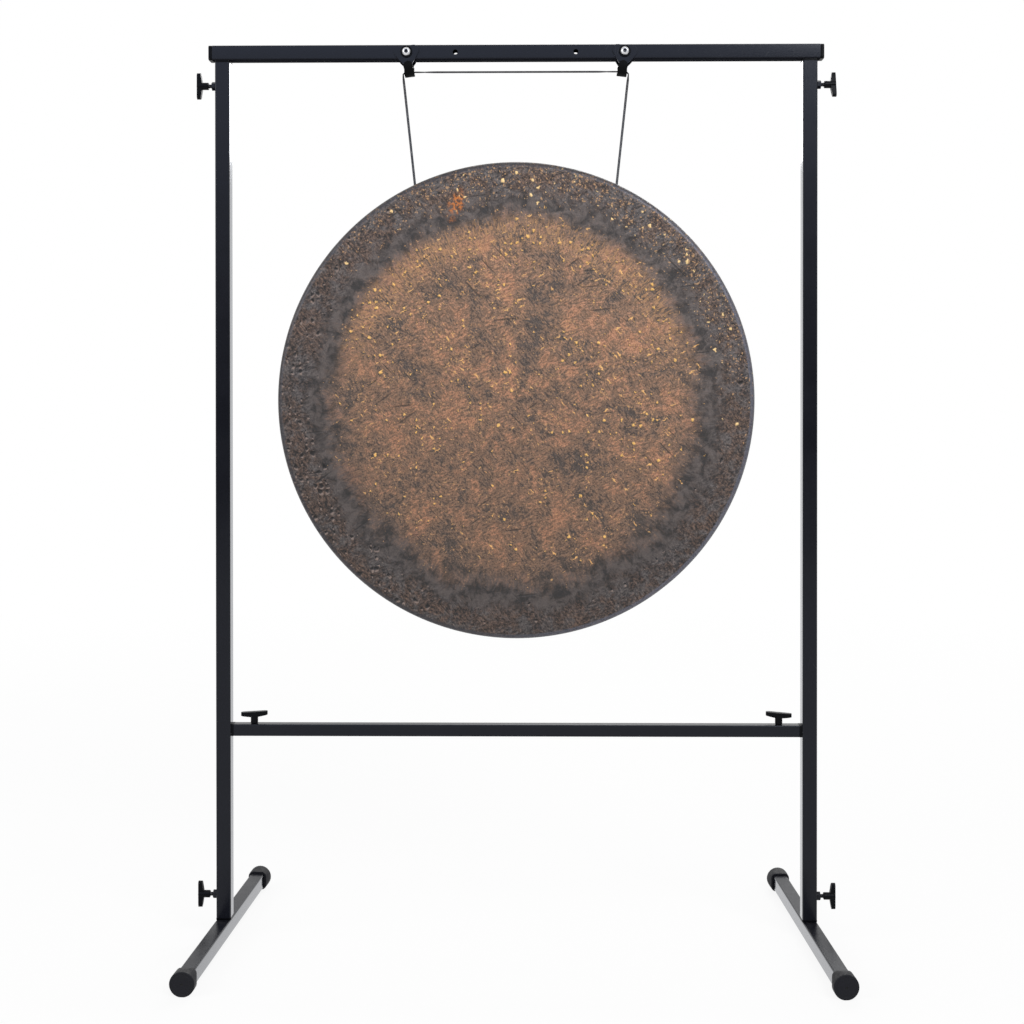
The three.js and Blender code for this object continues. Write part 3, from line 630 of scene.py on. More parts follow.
# %% Zinc plate and black thread
PLATE_GREYS = ((0.34, 0.345, 0.36), (0.52, 0.525, 0.54))
BOLT_GREYS = ((0.62, 0.625, 0.64), (0.86, 0.865, 0.88))
THREAD_BLACKS = ((0.018, 0.018, 0.020), (0.05, 0.05, 0.054))
THREAD_PITCH = 0.00125


def zinc_plate(name, centre, paint=PLATE_GREYS, socket=False):
    """Zinc plated steel with turned rings. A bolt's socket is painted dark, as shade in its recess."""
    material, shader, place = new_finish(name, Metallic=1.0)
    centred = centred_on(place, centre)
    rings = place_node(
        tree_of(place), "ShaderNodeTexWave", ["Fac"], {"wave_type": "RINGS", "rings_direction": "Y"},
        Vector=centred, Scale=900.0, Distortion=1.5, Detail=2.0)
    spots = grain(place, 700.0, 4.0, 0.6)
    stain = spread(grain(place, 160.0, 5.0, 0.7), 0.45, 0.7)
    colour = shaded(mix_colour(spots, *paint), stain, (0.22, 0.215, 0.20), 0.35)
    # Inside a bolt's socket the colour is painted dark, as shade.
    if socket:
        outside_socket_shade = spread(face_distance(centred), 0.0028, 0.0038)
        colour = mix_colour(outside_socket_shade, (0.03, 0.03, 0.032), colour)
    rough = spread(spots, 0.3, 0.7, 0.22, 0.4)
    wire(shader, Base_Color=colour, Roughness=rough, Normal=bumped(rings, 0.00002))
    return material


def black_thread(name, centre, axis):
    """Oiled black steel. The ridges are waves along the bolt's axis, turned into a screw by the angle."""
    material, shader, place = new_finish(name, Metallic=0.85)
    x, y, z = axes(centred_on(place, centre))
    along, across, up = (x, y, z) if axis == "X" else (z, x, y)
    turn = calc("DIVIDE", calc("ARCTAN2", across, up), 2 * math.pi)
    ridge = calc("PINGPONG", calc("ADD", calc("DIVIDE", along, THREAD_PITCH), turn), 0.5)
    spots = grain(place, 900.0, 4.0, 0.6)
    wire(
        shader, Base_Color=mix_colour(spots, *THREAD_BLACKS),
        Roughness=spread(spots, 0.3, 0.7, 0.3, 0.5), Normal=bumped(ridge, 0.0007))
    return material


# %% [markdown]
# ## Plastic and rubber
# The wing heads, bushes and end plugs are injection moulded plastic, and the foot caps and sleeves are
# rubber. Both get their grain from the mould. Rubber is rougher, and greys a little where dust and hands
# have been. The middle of each foot cap has the small round dimple where the rubber was pressed into the
# mould.

# %% Plastic and rubber finishes
PLASTIC_BLACKS = ((0.0012, 0.0014, 0.0022), (0.0030, 0.0033, 0.0048))
CAP_BLACKS = ((0.0028, 0.0029, 0.0046), (0.0074, 0.0076, 0.0112))
SLEEVE_BLACKS = ((0.0010, 0.0010, 0.0012), (0.0022, 0.0022, 0.0026))
# pebbles per metre, their height, the range of roughness, and the colour of the dust
PLASTIC_SKIN = (1900.0, 0.00004, (0.30, 0.42), (0.13, 0.125, 0.12))
RUBBER_SKIN = (1300.0, 0.00006, (0.5, 0.66), (0.15, 0.147, 0.143))


def moulded(name, skin, paint, gloss, dusty, centre=None, angle=0.0):
    """Black plastic or rubber. With a centre, it has a mould mark there: a dimple, painted darker as shade,
    and a faint ring.
    """
    pebbles, depth, rough, dust_paint = skin
    material, shader, place = new_finish(name, Specular_IOR_Level=gloss)
    height, tone = use_group(MOULDED_SKIN, ["Height", "Tone"], Place=place, Pebbles=pebbles)
    dust = use_group(SETTLED_DUST, ["Mask"], Place=place, Amount=dusty)
    colour = mix_colour(tone, *paint)
    normal = bumped(height, depth)
    if centre is not None:
        radius = face_distance(centred_on(place, Matrix.Rotation(angle, 4, "Z") @ centre, angle))
        dimple = spread(radius, 0.0014, 0.0022)
        ring = band(radius, (0.0145, 0.0150), (0.0150, 0.0155))
        normal = bumped(calc("SUBTRACT", dimple, times(ring, 0.5)), 0.0007, normal)
        # Painted shade in the dimple.
        colour = mix_colour(dimple, (0.004, 0.004, 0.004), colour)
    wire(
        shader, Base_Color=mix_colour(dust, colour, dust_paint),
        Roughness=spread(tone, 0.3, 0.7, *rough), Normal=normal)
    return material


# %% [markdown]
# ## Soft edges on the CAD pieces
# A CAD model's edges are perfectly sharp, and no real edge is. Each piece gets the same three modifiers:
# Weld joins its loose triangles, Bevel rounds the sharp edges, and Weighted Normal keeps the flats flat and
# shades the corners round. The mesh itself isn't touched.

# %% Give a piece soft edges and its finish
STEEL_EDGE = 0.0003
NUT_EDGE = SLEEVE_EDGE = GONG_SOFT = 0.0004
PLASTIC_EDGE = 0.0005
CAP_EDGE = 0.0006
WING_EDGE = 0.0011


def soften(piece, width, crease, flatness):
    """Rounds the edges that are sharper than the crease, in degrees, and keeps the flats flat."""
    bevel = piece.modifiers.new("edges", "BEVEL")
    bevel.width = width
    bevel.segments = 2
    bevel.limit_method = "ANGLE"
    bevel.angle_limit = math.radians(crease)
    shade = piece.modifiers.new("shade", "WEIGHTED_NORMAL")
    shade.weight = flatness


def dress(name, material, width, crease=50):
    piece = frame["nodes"][name]
    for polygon in piece.data.polygons:
        polygon.use_smooth = True
    weld = piece.modifiers.new("weld", "WELD")
    weld.merge_threshold = SAME_SPOT
    soften(piece, width, crease, 90)
    piece.data.materials.clear()
    piece.data.materials.append(material)


def middle(name):
    low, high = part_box(name)
    return (low + high) / 2


# %% Dress the steel
coat = powder_coat()
for name in ("top_bar", "cross_bar"):
    dress(name, coat, STEEL_EDGE)
for side, _ in SIDES:
    for stem in ("upright", "top_leg", "foot_tube", "foot_leg", "cross_spigot", "hanger_strap"):
        dress(f"{stem}_{side}", coat, STEEL_EDGE)
    for level in ("upper", "lower"):
        dress(f"weld_nut_{level}_{side}", coat, NUT_EDGE)

    bolt = f"hanger_bolt_{side}"
    zinc = zinc_plate(f"zinc_plate_{side}", middle(bolt))
    for stem in ("back_washer", "lock_nut"):
        dress(f"{stem}_{side}", zinc, STEEL_EDGE, 40)
    dress(f"spigot_nut_{side}", zinc, STEEL_EDGE)
    dress(bolt, zinc_plate(f"zinc_bolt_{side}", middle(bolt), BOLT_GREYS, socket=True), STEEL_EDGE, 40)
    for level, axis in (("upper", "X"), ("lower", "X"), ("cross", "Z")):
        stud = f"wing_stud_{level}_{side}"
        dress(stud, black_thread(f"black_thread_{level}_{side}", middle(stud), axis), STEEL_EDGE)
print("the steel is dressed")

# %% Dress the plastic and the rubber
FOOT_TOE = math.radians(2.7)
UPRIGHT_X = 0.4975
CAP_REACH = 0.255
CAP_HEIGHT = 0.0194


def cap_middle(sign, forward):
    """The middle of a cap's round end. The feet turn out a little at their fronts."""
    x = sign * (UPRIGHT_X + forward * CAP_REACH * math.sin(FOOT_TOE))
    return Vector((x, -forward * CAP_REACH * math.cos(FOOT_TOE), CAP_HEIGHT))


plastic = moulded("black_plastic", PLASTIC_SKIN, PLASTIC_BLACKS, gloss=0.08, dusty=0.08)
rubber = moulded("rubber_sleeve", RUBBER_SKIN, SLEEVE_BLACKS, gloss=0.08, dusty=0.08)
for side, sign in SIDES:
    for stem in ("upper_bush", "lower_bush", "cross_bush", "end_plug"):
        dress(f"{stem}_{side}", plastic, PLASTIC_EDGE)
    dress(f"front_washer_{side}", plastic, STEEL_EDGE)
    dress(f"hanger_sleeve_{side}", rubber, SLEEVE_EDGE)
    for level in ("upper", "lower", "cross"):
        dress(f"wing_head_{level}_{side}", plastic, WING_EDGE, 35)
    for end, forward in (("front", 1), ("rear", -1)):
        spot = cap_middle(sign, forward)
        marked = moulded(f"rubber_{end}_{side}", RUBBER_SKIN, CAP_BLACKS, 0.2, 0.35, spot, -sign * FOOT_TOE)
        dress(f"foot_cap_{end}_{side}", marked, CAP_EDGE, 40)
print("the plastic and the rubber are dressed")

# %% [markdown]
# ## The gong
# A gong like this is cast as a thick bronze disc, heated and hammered flat, and its edge is hammered over
# into a lip. It isn't polished after that. Hammer marks, scale from the fire and years of handling stay on
# it. The dish is one profile spun round its axis. Its face is dented by noise at two sizes, as a hammered
# sheet is, and then the sheet gets its thickness. The two holes in the lip are cut with a Boolean.

# %% Shape of the gong
GONG_RADIUS = 0.4064
GONG_WALL = 0.0017
GONG_EDGE = 0.011
LIP_DEPTH = 0.046
LIP_TAPER = 0.005
EDGE_STEPS = 7
FACE_RINGS = 64
LIP_RINGS = 7
AROUND = 272
DENTS = ((14.0, 0.0005), (38.0, 0.00022))
HOLE_BACK = 0.015
HOLE_SIDE = 0.171
HOLE_RADIUS = 0.405829
HOLE_HEIGHT = 0.36804
HOLE_LEVEL = 1.28204
HOLE_WIDE = 0.00375
CUTTER_DEPTH = 0.016
CALM_EDGE = 0.02
GONG_LEAN = math.radians(1.674)
GONG_PLACE = (
    Matrix.Translation((0, 0, HOLE_LEVEL)) @ Matrix.Rotation(GONG_LEAN, 4, "X")
    @ Matrix.Translation((0, -HOLE_BACK, -HOLE_HEIGHT)))


def gong_profile(bm):
    """Half of the gong's section: across the face, round the edge and along the lip."""
    centre = bm.verts.new((0, 0, 0))
    shoulder = bm.verts.new((GONG_RADIUS - GONG_EDGE, 0, 0))
    face = bm.edges.new((centre, shoulder))
    edge = bmesh.ops.spin(
        bm, geom=[shoulder], cent=(GONG_RADIUS - GONG_EDGE, GONG_EDGE, 0), axis=(0, 0, 1),
        angle=math.radians(90), steps=EDGE_STEPS)
    rim = [item for item in edge["geom_last"] if isinstance(item, bmesh.types.BMVert)]
    lip = bmesh.ops.extrude_vert_indiv(bm, verts=rim)
    lip["verts"][0].co = (GONG_RADIUS - LIP_TAPER, LIP_DEPTH, 0)
    bmesh.ops.subdivide_edges(bm, edges=lip["edges"], cuts=LIP_RINGS)
    bmesh.ops.subdivide_edges(bm, edges=[face], cuts=FACE_RINGS)


def dent(bm):
    """Hammer dents: the face moves in and out a little, and less near the edge."""
    for vert in bm.verts:
        away = math.hypot(vert.co.x, vert.co.z)
        calm = min(max((GONG_RADIUS - away) / CALM_EDGE, 0.15), 1)
        for lumps, depth in DENTS:
            vert.co.y += depth * calm * (noise.noise(vert.co * lumps) + 0.25)


def hammered_gong():
    bm = bmesh.new()
    gong_profile(bm)
    spin_round(bm, (0, 1, 0), AROUND)
    nearest = min(bm.faces, key=lambda face: face.calc_center_median().length)
    if nearest.normal.y > 0:
        bmesh.ops.reverse_faces(bm, faces=bm.faces[:])
    dent(bm)
    bmesh.ops.solidify(bm, geom=bm.faces[:], thickness=GONG_WALL)
    print("the gong's face lies from", round(min(vert.co.y for vert in bm.verts) * 1000, 2), "mm")
    bmesh.ops.transform(bm, matrix=GONG_PLACE, verts=bm.verts[:])
    return mesh_object("hammered_gong", bm)


# %% Cut the two holes in the lip
def hole_cutter():
    """Two short rods that stand where the holes go, each square to the lip."""
    bm = bmesh.new()
    for side, sign in SIDES:
        rod = bmesh.ops.create_cone(
            bm, cap_ends=True, segments=24, radius1=HOLE_WIDE, radius2=HOLE_WIDE, depth=CUTTER_DEPTH)
        lean = Matrix.Rotation(sign * math.asin(HOLE_SIDE / HOLE_RADIUS), 4, "Y")
        spot = Matrix.Translation((sign * HOLE_SIDE, HOLE_BACK, HOLE_HEIGHT))
        bmesh.ops.transform(bm, matrix=GONG_PLACE @ spot @ lean, verts=rod["verts"])
    return mesh_object("hole_cutter", bm, smooth=False)


def cut_holes(piece, cutter):
    boolean = piece.modifiers.new("holes", "BOOLEAN")
    boolean.object = cutter
    boolean.solver = "EXACT"
    bpy.context.view_layer.update()
    ready = piece.evaluated_get(bpy.context.evaluated_depsgraph_get())
    made = bpy.data.meshes.new_from_object(ready)
    piece.modifiers.clear()
    piece.data = made
    bpy.data.objects.remove(cutter)
    print("the gong has", len(made.polygons), "faces")


gong = hammered_gong()
cut_holes(gong, hole_cutter())
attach(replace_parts(gong, "gong"), "hanging_gong")
soften(gong, GONG_SOFT, 55, 50)

# %% [markdown]
# ## Bronze with age
# The middle of the face is brown, with copper and grey clouds, gold flecks where the hammer scraped the
# scale off, and dark scratches. The big flecks also have a painted glint, with a painted shadow beside
# each. Round it runs a smoky grey belt, where the metal was scraped thin. The outer ring is dark again and
# full of hammer marks: its bumps have painted glints at the top and right, and its pits on the left are
# painted dark as shade, with a painted highlight on their lower edge. The rim has a painted reflection, and
# the whole face is painted darker towards the bottom and the left, as shade. Most of this depends on how
# far a point is from the gong's middle, so the pattern is centred there and the distance drives the masks,
# with noise to make the borders wander.

# %% Effects on the bronze
GONG_CENTRE = GONG_PLACE @ Vector((0, 0, 0))
STAIN_PLACE = (-0.1007, 0.333, 0)
BACK_SHIFT = (0.93, 0.57, 0)
FACE_DEPTH = 0.004


def flecks_group():
    """Small flecks: one in some of the cells, with a random size. The share may change over the surface."""
    tree, given, made = new_group("hammer_flecks", ["Mask", "Height"], Size=160.0, Share=0.3, Width=0.3)
    distance, chance = cells(given["Place"], given["Size"], space="2D")
    first, second = place_node(tree, "ShaderNodeSeparateColor", ["Red", "Green"], Color=chance)
    chosen = calc("LESS_THAN", first, given["Share"])
    size = calc("ADD", 0.4, times(second, second, 1.5))
    width = times(given["Width"], size)
    wire(
        made, Mask=times(fade(distance, times(width, 0.45), width), chosen),
        Height=times(fade(distance, 0.0, width), chosen))
    return tree


HAMMER_FLECKS = flecks_group()


def on_the_sheet(place):
    """The gong laid flat: X and Y run across the face from its middle, and the lip carries on outwards.

    The back has its own part of every pattern, so it isn't a copy of the face.
    """
    tree = tree_of(place)
    centred = mapped(place, GONG_CENTRE, (GONG_LEAN, 0, 0), kind="TEXTURE")
    x, depth, z = axes(centred)
    deeper = calc("MAXIMUM", calc("SUBTRACT", depth, FACE_DEPTH), 0.0)
    factor = calc("ADD", 1.0, calc("DIVIDE", deeper, GONG_RADIUS))
    flat = place_node(
        tree, "ShaderNodeCombineXYZ", ["Vector"], X=times(x, factor), Y=times(z, factor))
    outward = place_node(tree, "ShaderNodeTexCoord", ["Normal"])
    behind = spread(axes(outward, "Y"), 0.2, 0.4)
    sheet = tree.nodes.new("ShaderNodeMix")
    sheet.data_type = "VECTOR"
    for number, term in ((0, behind), (4, flat), (5, mapped(flat, shift=BACK_SHIFT))):
        feed(sheet.inputs[number], term)
    return sheet.outputs[1], face_distance(centred), x, z, behind


def warped(flat, scale, amount):
    """The flat place, pushed about by noise, so that round shapes become ragged."""
    shove = place_node(
        tree_of(flat), "ShaderNodeTexNoise", ["Color"], {"noise_dimensions": "2D"},
        Vector=flat, Scale=scale, Detail=3.0)
    centred = calc_vector("SUBTRACT", shove, (0.5, 0.5, 0.5))
    return calc_vector("ADD", flat, scaled(centred, amount))


def stretched(flat, turn, long, shift=(0, 0, 0)):
    """Draws a flat pattern out along one line. The turn, from the X axis, gives the line's direction."""
    return mapped(flat, shift, (0, 0, turn), (long, 1, 1), "TEXTURE")


def between(share, first, second):
    """A number that goes from the first to the second as the share goes from 0 to 1."""
    return calc("ADD", first, times(share, calc("SUBTRACT", second, first)))


# %% Clouds and belts
def brush_strokes(radius, x, z):
    """Fine strokes that point to the middle, as the scraper leaves them."""
    around = times(calc("ARCTAN2", x, z), 0.30)
    polar = place_node(
        tree_of(radius), "ShaderNodeCombineXYZ", ["Vector"], X=around, Y=times(radius, 0.22))
    return grain(polar, 300.0, 3.0, 0.6, "2D")


def bronze_ground(flat, radius, shade_slope, hatch, fine, strokes):
    """The colour under the marks, with painted shade low down and on the left, and the masks of the middle
    and of the outer ring.
    """
    cloud = grain(flat, 13.0, 6.0, 0.62, "2D")
    patch = grain(warped(flat, 30.0, 0.03), 48.0, 6.0, 0.66, "2D")
    drift = calc("SUBTRACT", grain(flat, 11.0, 6.0, 0.62, "2D"), 0.5)
    wander = total((drift, 0.060), (calc("SUBTRACT", strokes, 0.5), 0.050))
    edge = calc("ADD", radius, wander)
    inner = fade(edge, 0.272, 0.334)
    ring = spread(edge, 0.328, 0.372)

    tone = total((cloud, 0.34), (patch, 0.34), (hatch, 0.24), (fine, 0.08))
    brown = mix_colour(spread(tone, 0.40, 0.51), (0.086, 0.067, 0.057), (0.212, 0.129, 0.085))
    brown = mix_colour(spread(tone, 0.50, 0.61), brown, (0.385, 0.192, 0.112))
    smoke = mix_colour(spread(patch, 0.36, 0.64), (0.032, 0.029, 0.028), (0.116, 0.095, 0.087))
    coarse = grain(warped(flat, 90.0, 0.006), 230.0, 4.0, 0.68, "2D")
    rough = spread(total((hatch, 0.30), (coarse, 0.40), (patch, 0.30)), 0.38, 0.62)
    dark = mix_colour(rough, (0.024, 0.021, 0.020), (0.165, 0.103, 0.075))
    grey = mix_colour(rough, (0.032, 0.029, 0.030), (0.120, 0.103, 0.097))
    dark = mix_colour(spread(total((patch, 0.6), (cloud, 0.4)), 0.42, 0.58), dark, grey)
    colour = mix_colour(ring, mix_colour(inner, smoke, brown), dark)
    mottle = spread(total((hatch, 0.45), (fine, 0.55)), 0.34, 0.66, 0.62, 1.38)
    calm = rest_of(calc("ADD", inner, ring, clamp=True))
    mottle = between(calm, mottle, between(0.25, 1.0, mottle))
    # Painted shade: the face gets darker towards the bottom and the left.
    mottle = times(mottle, spread(shade_slope, -0.38, 0.34, 0.80, 1.08))
    grey = place_node(
        tree_of(mottle), "ShaderNodeCombineColor", ["Color"], Red=mottle, Green=mottle, Blue=mottle)
    return mix_colour(1.0, colour, grey, "MULTIPLY"), inner, ring, patch


# %% Gold flecks, pits and scratches
# Some of these colours are painted light: the big dots' gold is partly a painted glint, the gold of the
# ring's bumps and crumbs is a painted glint, the hollow and pit colours are painted shade, and the ledge
# colour is a painted highlight.
GOLD_WITH_GLINT, DULL_GOLD, BUMP_GLINT_GOLD = (0.95, 0.55, 0.16), (0.52, 0.29, 0.14), (0.95, 0.66, 0.30)
STROKE_GOLD, BORDER_GOLD, CRUMB_GLINT_GOLD = (0.86, 0.48, 0.17), (0.43, 0.235, 0.115), (0.50, 0.29, 0.14)
HOLLOW_SHADE, PIT_SHADE, LEDGE_HIGHLIGHT = (0.040, 0.038, 0.036), (0.008, 0.007, 0.007), (0.29, 0.215, 0.18)
SOOT = (0.022, 0.020, 0.019)
DOT_SCALE = 100.0
STROKE_SCALE = 190.0
PIT_SCALE = 92.0


def flecks(flat, size, share, width):
    """The mask and the height of some flecks."""
    return use_group(HAMMER_FLECKS, ["Mask", "Height"], Place=flat, Size=size, Share=share, Width=width)


def middle_flecks(flat, colour, inner, strokes, radius, x, z):
    """Gold dots and strokes on the middle of the face. The big dots are scraped metal with a painted glint,
    and each has a painted shadow beside it.

    Above, the middle ends in a border of short golden strokes.
    """
    upper = spread(calc("ADD", z, times(x, 0.3)), -0.28, 0.22, 0.45, 1.0)
    crowd = times(spread(grain(flat, 17.0, 5.0, 0.65, "2D"), 0.42, 0.62, 0.15, 1.0), upper)
    above = spread(z, 0.0, 0.18)
    border = times(spread(radius, 0.235, 0.285), above)
    edging = times(band(radius, (0.252, 0.278), (0.300, 0.322)), above)
    golden = times(edging, spread(strokes, 0.50, 0.60))
    colour = shaded(colour, golden, BORDER_GOLD, 0.70)
    crowd = times(calc("MAXIMUM", crowd, border), inner)
    ragged = warped(flat, 230.0, 0.0065)
    dots = times(crowd, 0.42)
    big, big_high = flecks(ragged, DOT_SCALE, dots, 0.18)
    # Painted shadow: a dark copy of the big dots, moved down and to the left.
    beside = mapped(ragged, shift=(0.0012, 0.0022, 0))
    hollow_shade, hollow_high = flecks(beside, DOT_SCALE, dots, 0.20)
    small = flecks(ragged, 235.0, times(crowd, 0.62), 0.30)[0]
    falling, rising = stretched(ragged, -0.85, 5.0), stretched(ragged, 0.45, 5.0)
    stroke, stroke_high = flecks(falling, STROKE_SCALE, times(crowd, 0.30), 0.16)
    other, other_high = flecks(rising, STROKE_SCALE, times(crowd, 0.24), 0.16)
    stroke, stroke_high = calc("MAXIMUM", stroke, other), calc("MAXIMUM", stroke_high, other_high)
    colour = shaded(colour, small, DULL_GOLD, 0.70)
    colour = shaded(colour, stroke, STROKE_GOLD, 0.85)
    colour = shaded(colour, hollow_shade, HOLLOW_SHADE, 0.75)
    # The big dots' gold is partly a painted glint.
    colour = shaded(colour, big, GOLD_WITH_GLINT, 0.9)
    return colour, total((big_high, 1.0), (stroke_high, 0.5), (hollow_high, -0.5))


def ring_marks(flat, colour, ring, x, z):
    """Round bumps with painted gold glints where the light falls, and pits on the left, painted dark as
    shade, with a painted highlight on their lower edge.
    """
    # Painted glints: the gold of the bumps and crumbs is only on the top and right, where the light falls.
    sunny = spread(calc("ADD", z, times(x, 0.4)), 0.04, 0.34)
    bumps = times(ring, sunny)
    ragged = warped(flat, 130.0, 0.008)
    bump, bump_high = flecks(ragged, 80.0, times(bumps, 0.30), 0.17)
    crumb = flecks(ragged, 215.0, times(bumps, 0.62), 0.28)[0]
    colour = shaded(colour, crumb, CRUMB_GLINT_GOLD, 0.75)
    colour = shaded(colour, bump, BUMP_GLINT_GOLD, 0.9)
    left = spread(x, -0.30, -0.06, 1.0, 0.12)
    low = spread(z, 0.06, 0.22, 1.0, 0.15)
    pitted = times(ring, left, low, 0.56)
    uneven = warped(flat, 130.0, 0.007)
    # Painted highlight: a pale copy of the pits, moved down, on their lower edge.
    ledge_highlight = flecks(mapped(uneven, shift=(-0.0010, 0.0032, 0)), PIT_SCALE, pitted, 0.26)[0]
    pit_shade, pit_high = flecks(uneven, PIT_SCALE, pitted, 0.30)
    colour = shaded(colour, ledge_highlight, LEDGE_HIGHLIGHT, 0.75)
    # Painted shade in the pits.
    colour = shaded(colour, pit_shade, PIT_SHADE, 0.95)
    return colour, calc("SUBTRACT", bump_high, pit_high)


def long_scratches(flat):
    """Straight dark scratches in three directions, few of each."""
    first = flecks(stretched(flat, -0.80, 13.0), 62.0, 0.26, 0.080)[0]
    second = flecks(stretched(flat, 0.62, 11.0), 58.0, 0.24, 0.075)[0]
    third = flecks(stretched(flat, 0.10, 12.0, (0.3, 0.1, 0)), 70.0, 0.20, 0.085)[0]
    return calc("MAXIMUM", calc("MAXIMUM", first, second), third)


# %% The stain and the rim
STAIN_ORANGE = (0.60, 0.19, 0.04)
# The rim greys are a painted reflection, from its dark side to its pale side.
RIM_GREYS = ((0.032, 0.033, 0.042), (0.135, 0.142, 0.185))
RIM_LINE = (0.020, 0.020, 0.022)


def orange_stain(flat, patch, behind):
    """The mask of a stain near the top left of the face."""
    aside = calc_vector("LENGTH", stretched(flat, 1.09, 2.1, STAIN_PLACE), output="Value")
    stain = fade(calc("ADD", aside, times(patch, 0.03)), 0.019, 0.029)
    broken = spread(grain(flat, 190.0, 3.0, 0.65, "2D"), 0.46, 0.56, 0.08, 1.0)
    return times(times(stain, broken), rest_of(behind))


def painted_rim_light(colour, rim, fine, radius, x, z):
    """The rim gets a painted bluish reflection, paler on the right, with a dark line at the very edge."""
    pale = spread(calc("SUBTRACT", x, times(z, 0.3)), -0.05, 0.38)
    # Painted reflection on the rounded rim, paler on the right.
    wear_and_rim_light = mix_colour(pale, *RIM_GREYS)
    colour = shaded(colour, times(rim, spread(fine, 0.36, 0.60, 0.45, 1.0)), wear_and_rim_light, 0.85)
    return shaded(colour, spread(radius, 0.4048, 0.4060), RIM_LINE, 0.9)


# %% The bronze finish
def aged_bronze():
    material, shader, place = new_finish("aged_bronze", Metallic=0.35)
    flat, radius, x, z, behind = on_the_sheet(place)
    fine = grain(flat, 430.0, 3.0, 0.6, "2D")
    pick = spread(grain(flat, 26.0, 2.0, 0.5, "2D"), 0.46, 0.54)
    falling = grain(stretched(flat, -0.85, 2.3), 285.0, 3.0, 0.6, "2D")
    rising = grain(stretched(flat, 0.45, 2.3), 285.0, 3.0, 0.6, "2D")
    hatch = between(pick, falling, rising)

    # Height across the face, which drives the painted shade low down and on the left.
    shade_slope = total((z, 1.0), (x, 0.3))
    strokes = brush_strokes(radius, x, z)
    colour, inner, ring, patch = bronze_ground(flat, radius, shade_slope, hatch, fine, strokes)
    colour, fleck_high = middle_flecks(flat, colour, inner, strokes, radius, x, z)
    colour, ring_high = ring_marks(flat, colour, ring, x, z)
    cuts = long_scratches(flat)
    colour = shaded(colour, cuts, SOOT, 0.65)
    colour = shaded(colour, orange_stain(flat, patch, behind), STAIN_ORANGE, 0.85)
    rim = band(radius, (0.3965, 0.4000), (0.4045, 0.4058))
    colour = painted_rim_light(colour, rim, fine, radius, x, z)

    normal = bumped(total((fleck_high, 1.0), (ring_high, 1.0), (cuts, -0.4)), 0.0009)
    hammer = cells(warped(flat, 60.0, 0.006), 75.0, "SMOOTH_F1", ["Distance"], "2D")
    normal = bumped(total((hammer, 1.0), (hatch, 0.5), (fine, 0.35)), 0.0008, normal)
    rough = calc("SUBTRACT", spread(hatch, 0.3, 0.7, 0.44, 0.60), times(rim, 0.12))
    wire(shader, Base_Color=colour, Roughness=rough, Normal=normal)
    return material


gong.data.materials.clear()
gong.data.materials.append(aged_bronze())
print("the gong is finished")

# %% [markdown]
# ## The cord's finish
# The cord is laid from three yarns and has gone grey where it rubs. A curve brings its own map, with one
# direction along it and the other round it, so a slanting stripe pattern on that map gives the lay of the
# rope.

# %% Laid cord
CORD_BLACKS = ((0.010, 0.010, 0.012), (0.050, 0.050, 0.055))
# The drop greys are painted light on the lower part of the drops.
DROP_GREYS = ((0.040, 0.043, 0.052), (0.105, 0.113, 0.135))
GREY_START = 1.45


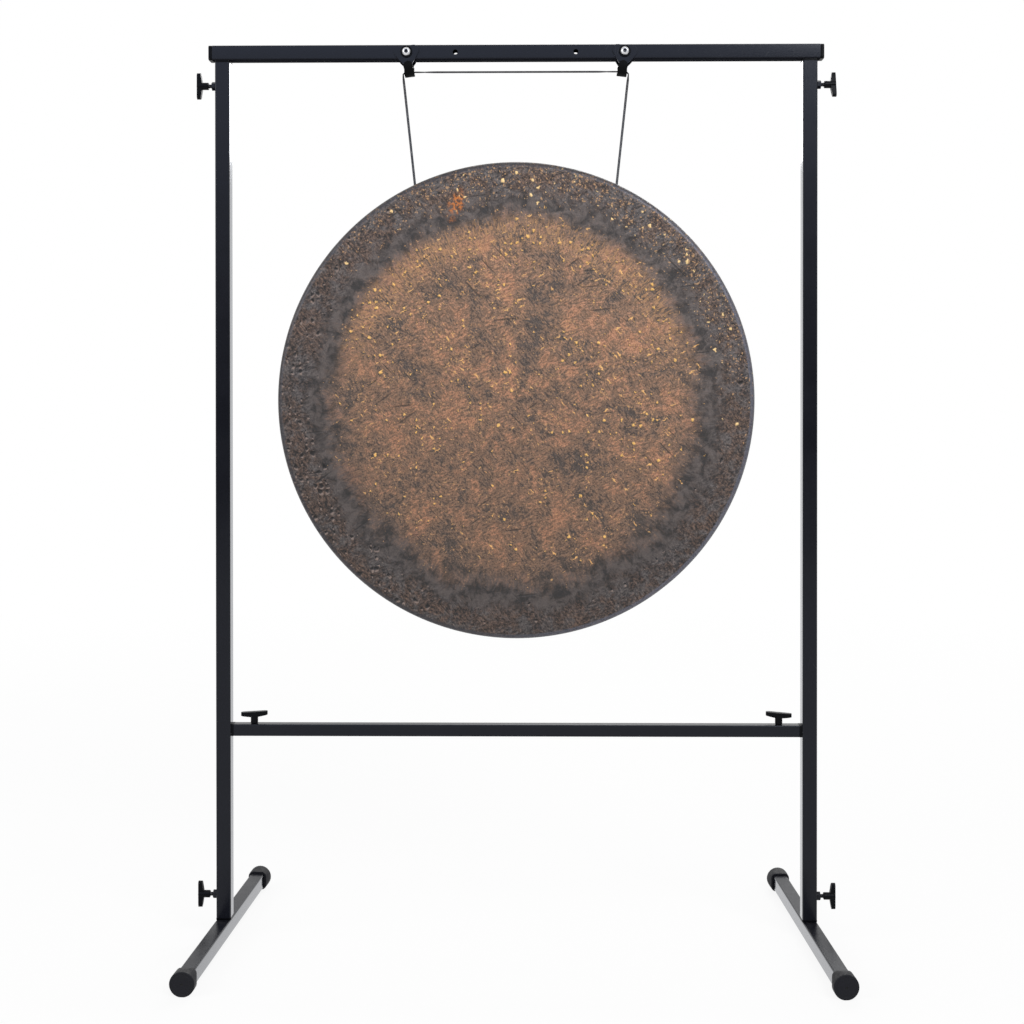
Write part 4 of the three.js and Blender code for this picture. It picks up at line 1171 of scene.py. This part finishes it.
def laid_cord(name, turns, grey_below=None):
    """Black cord, worn grey in places. Below a given height all of it is painted greyer, as painted light."""
    material, shader, place = new_finish(name, Roughness=0.85)
    along, around = axes(place_node(tree_of(place), "ShaderNodeTexCoord", ["UV"]), "XY")
    yarn = calc("PINGPONG", total((along, turns), (around, 3.0)), 0.5)
    fuzz = grain(place, 2600.0, 3.0, 0.7)
    wear_and_rim_light = spread(grain(place, 90.0, 4.0), 0.35, 0.65)
    colour = shaded(mix_colour(yarn, *CORD_BLACKS), wear_and_rim_light, (0.11, 0.11, 0.12), 0.35)
    colour = shaded(colour, fuzz, (0.08, 0.08, 0.085), 0.3)
    if grey_below is not None:
        # Painted light: the drop is greyer below a given height.
        painted_light_below = spread(axes(place, "Z"), grey_below - 0.06, grey_below, 0.85, 0.0)
        colour = mix_colour(painted_light_below, colour, mix_colour(yarn, *DROP_GREYS))
    height = calc("ADD", yarn, times(fuzz, 0.4))
    wire(shader, Base_Color=colour, Normal=bumped(height, 0.0005))
    return material


for pieces, finish in (
        (drop_strands, laid_cord("laid_cord_drop", 200.0, GREY_START)),
        (run_strands, laid_cord("laid_cord_run", 370.0)),
        (knots, laid_cord("laid_cord_knot", 36.0))):
    for piece in pieces:
        piece.data.materials.append(finish)
    print(finish.name, "is on", [piece.name for piece in pieces])

# %% [markdown]
# ## Weld beads
# Each wing bolt screws into a nut that is welded on the tube. The weld leaves a lumpy ring round the nut's
# foot, and the powder coat covers it. Here the ring is flat. The small circle that is spun round the nut's
# axis lies square to it, so the ring has an uneven width and no thickness, and stands just off the tube.

# %% Welds round the nuts
NUT_PLACES = (("lower", 0.0729), ("upper", 1.451))
NUT_FOOT = 0.5106
BEAD_RING = 0.0073
BEAD_HALF_WIDTH = 0.0011
BEAD_LUMPS = 420
BEAD_UNEVEN = 0.00035


def weld_bead(name, place):
    bm = bmesh.new()
    section = bmesh.ops.create_circle(bm, segments=10, radius=BEAD_HALF_WIDTH)
    across = Matrix.Rotation(math.radians(90), 4, "Z") @ Matrix.Rotation(math.radians(90), 4, "X")
    bmesh.ops.transform(bm, matrix=Matrix.Translation((0, BEAD_RING, 0)) @ across, verts=section["verts"])
    spin_round(bm, (1, 0, 0), 48)
    for vert in bm.verts:
        lump = noise.noise((vert.co + place) * BEAD_LUMPS) * BEAD_UNEVEN
        vert.co += Vector((0, vert.co.y, vert.co.z)).normalized() * lump
    bmesh.ops.transform(bm, matrix=Matrix.Translation(place), verts=bm.verts[:])
    bead = mesh_object(name, bm)
    bead.data.materials.append(coat)
    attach(bead, "frame")
    return bead


for side, sign in SIDES:
    for level, height in NUT_PLACES:
        weld_bead(f"weld_bead_{level}_{side}", Vector((sign * NUT_FOOT, 0, height)))
print("four weld beads are in place")
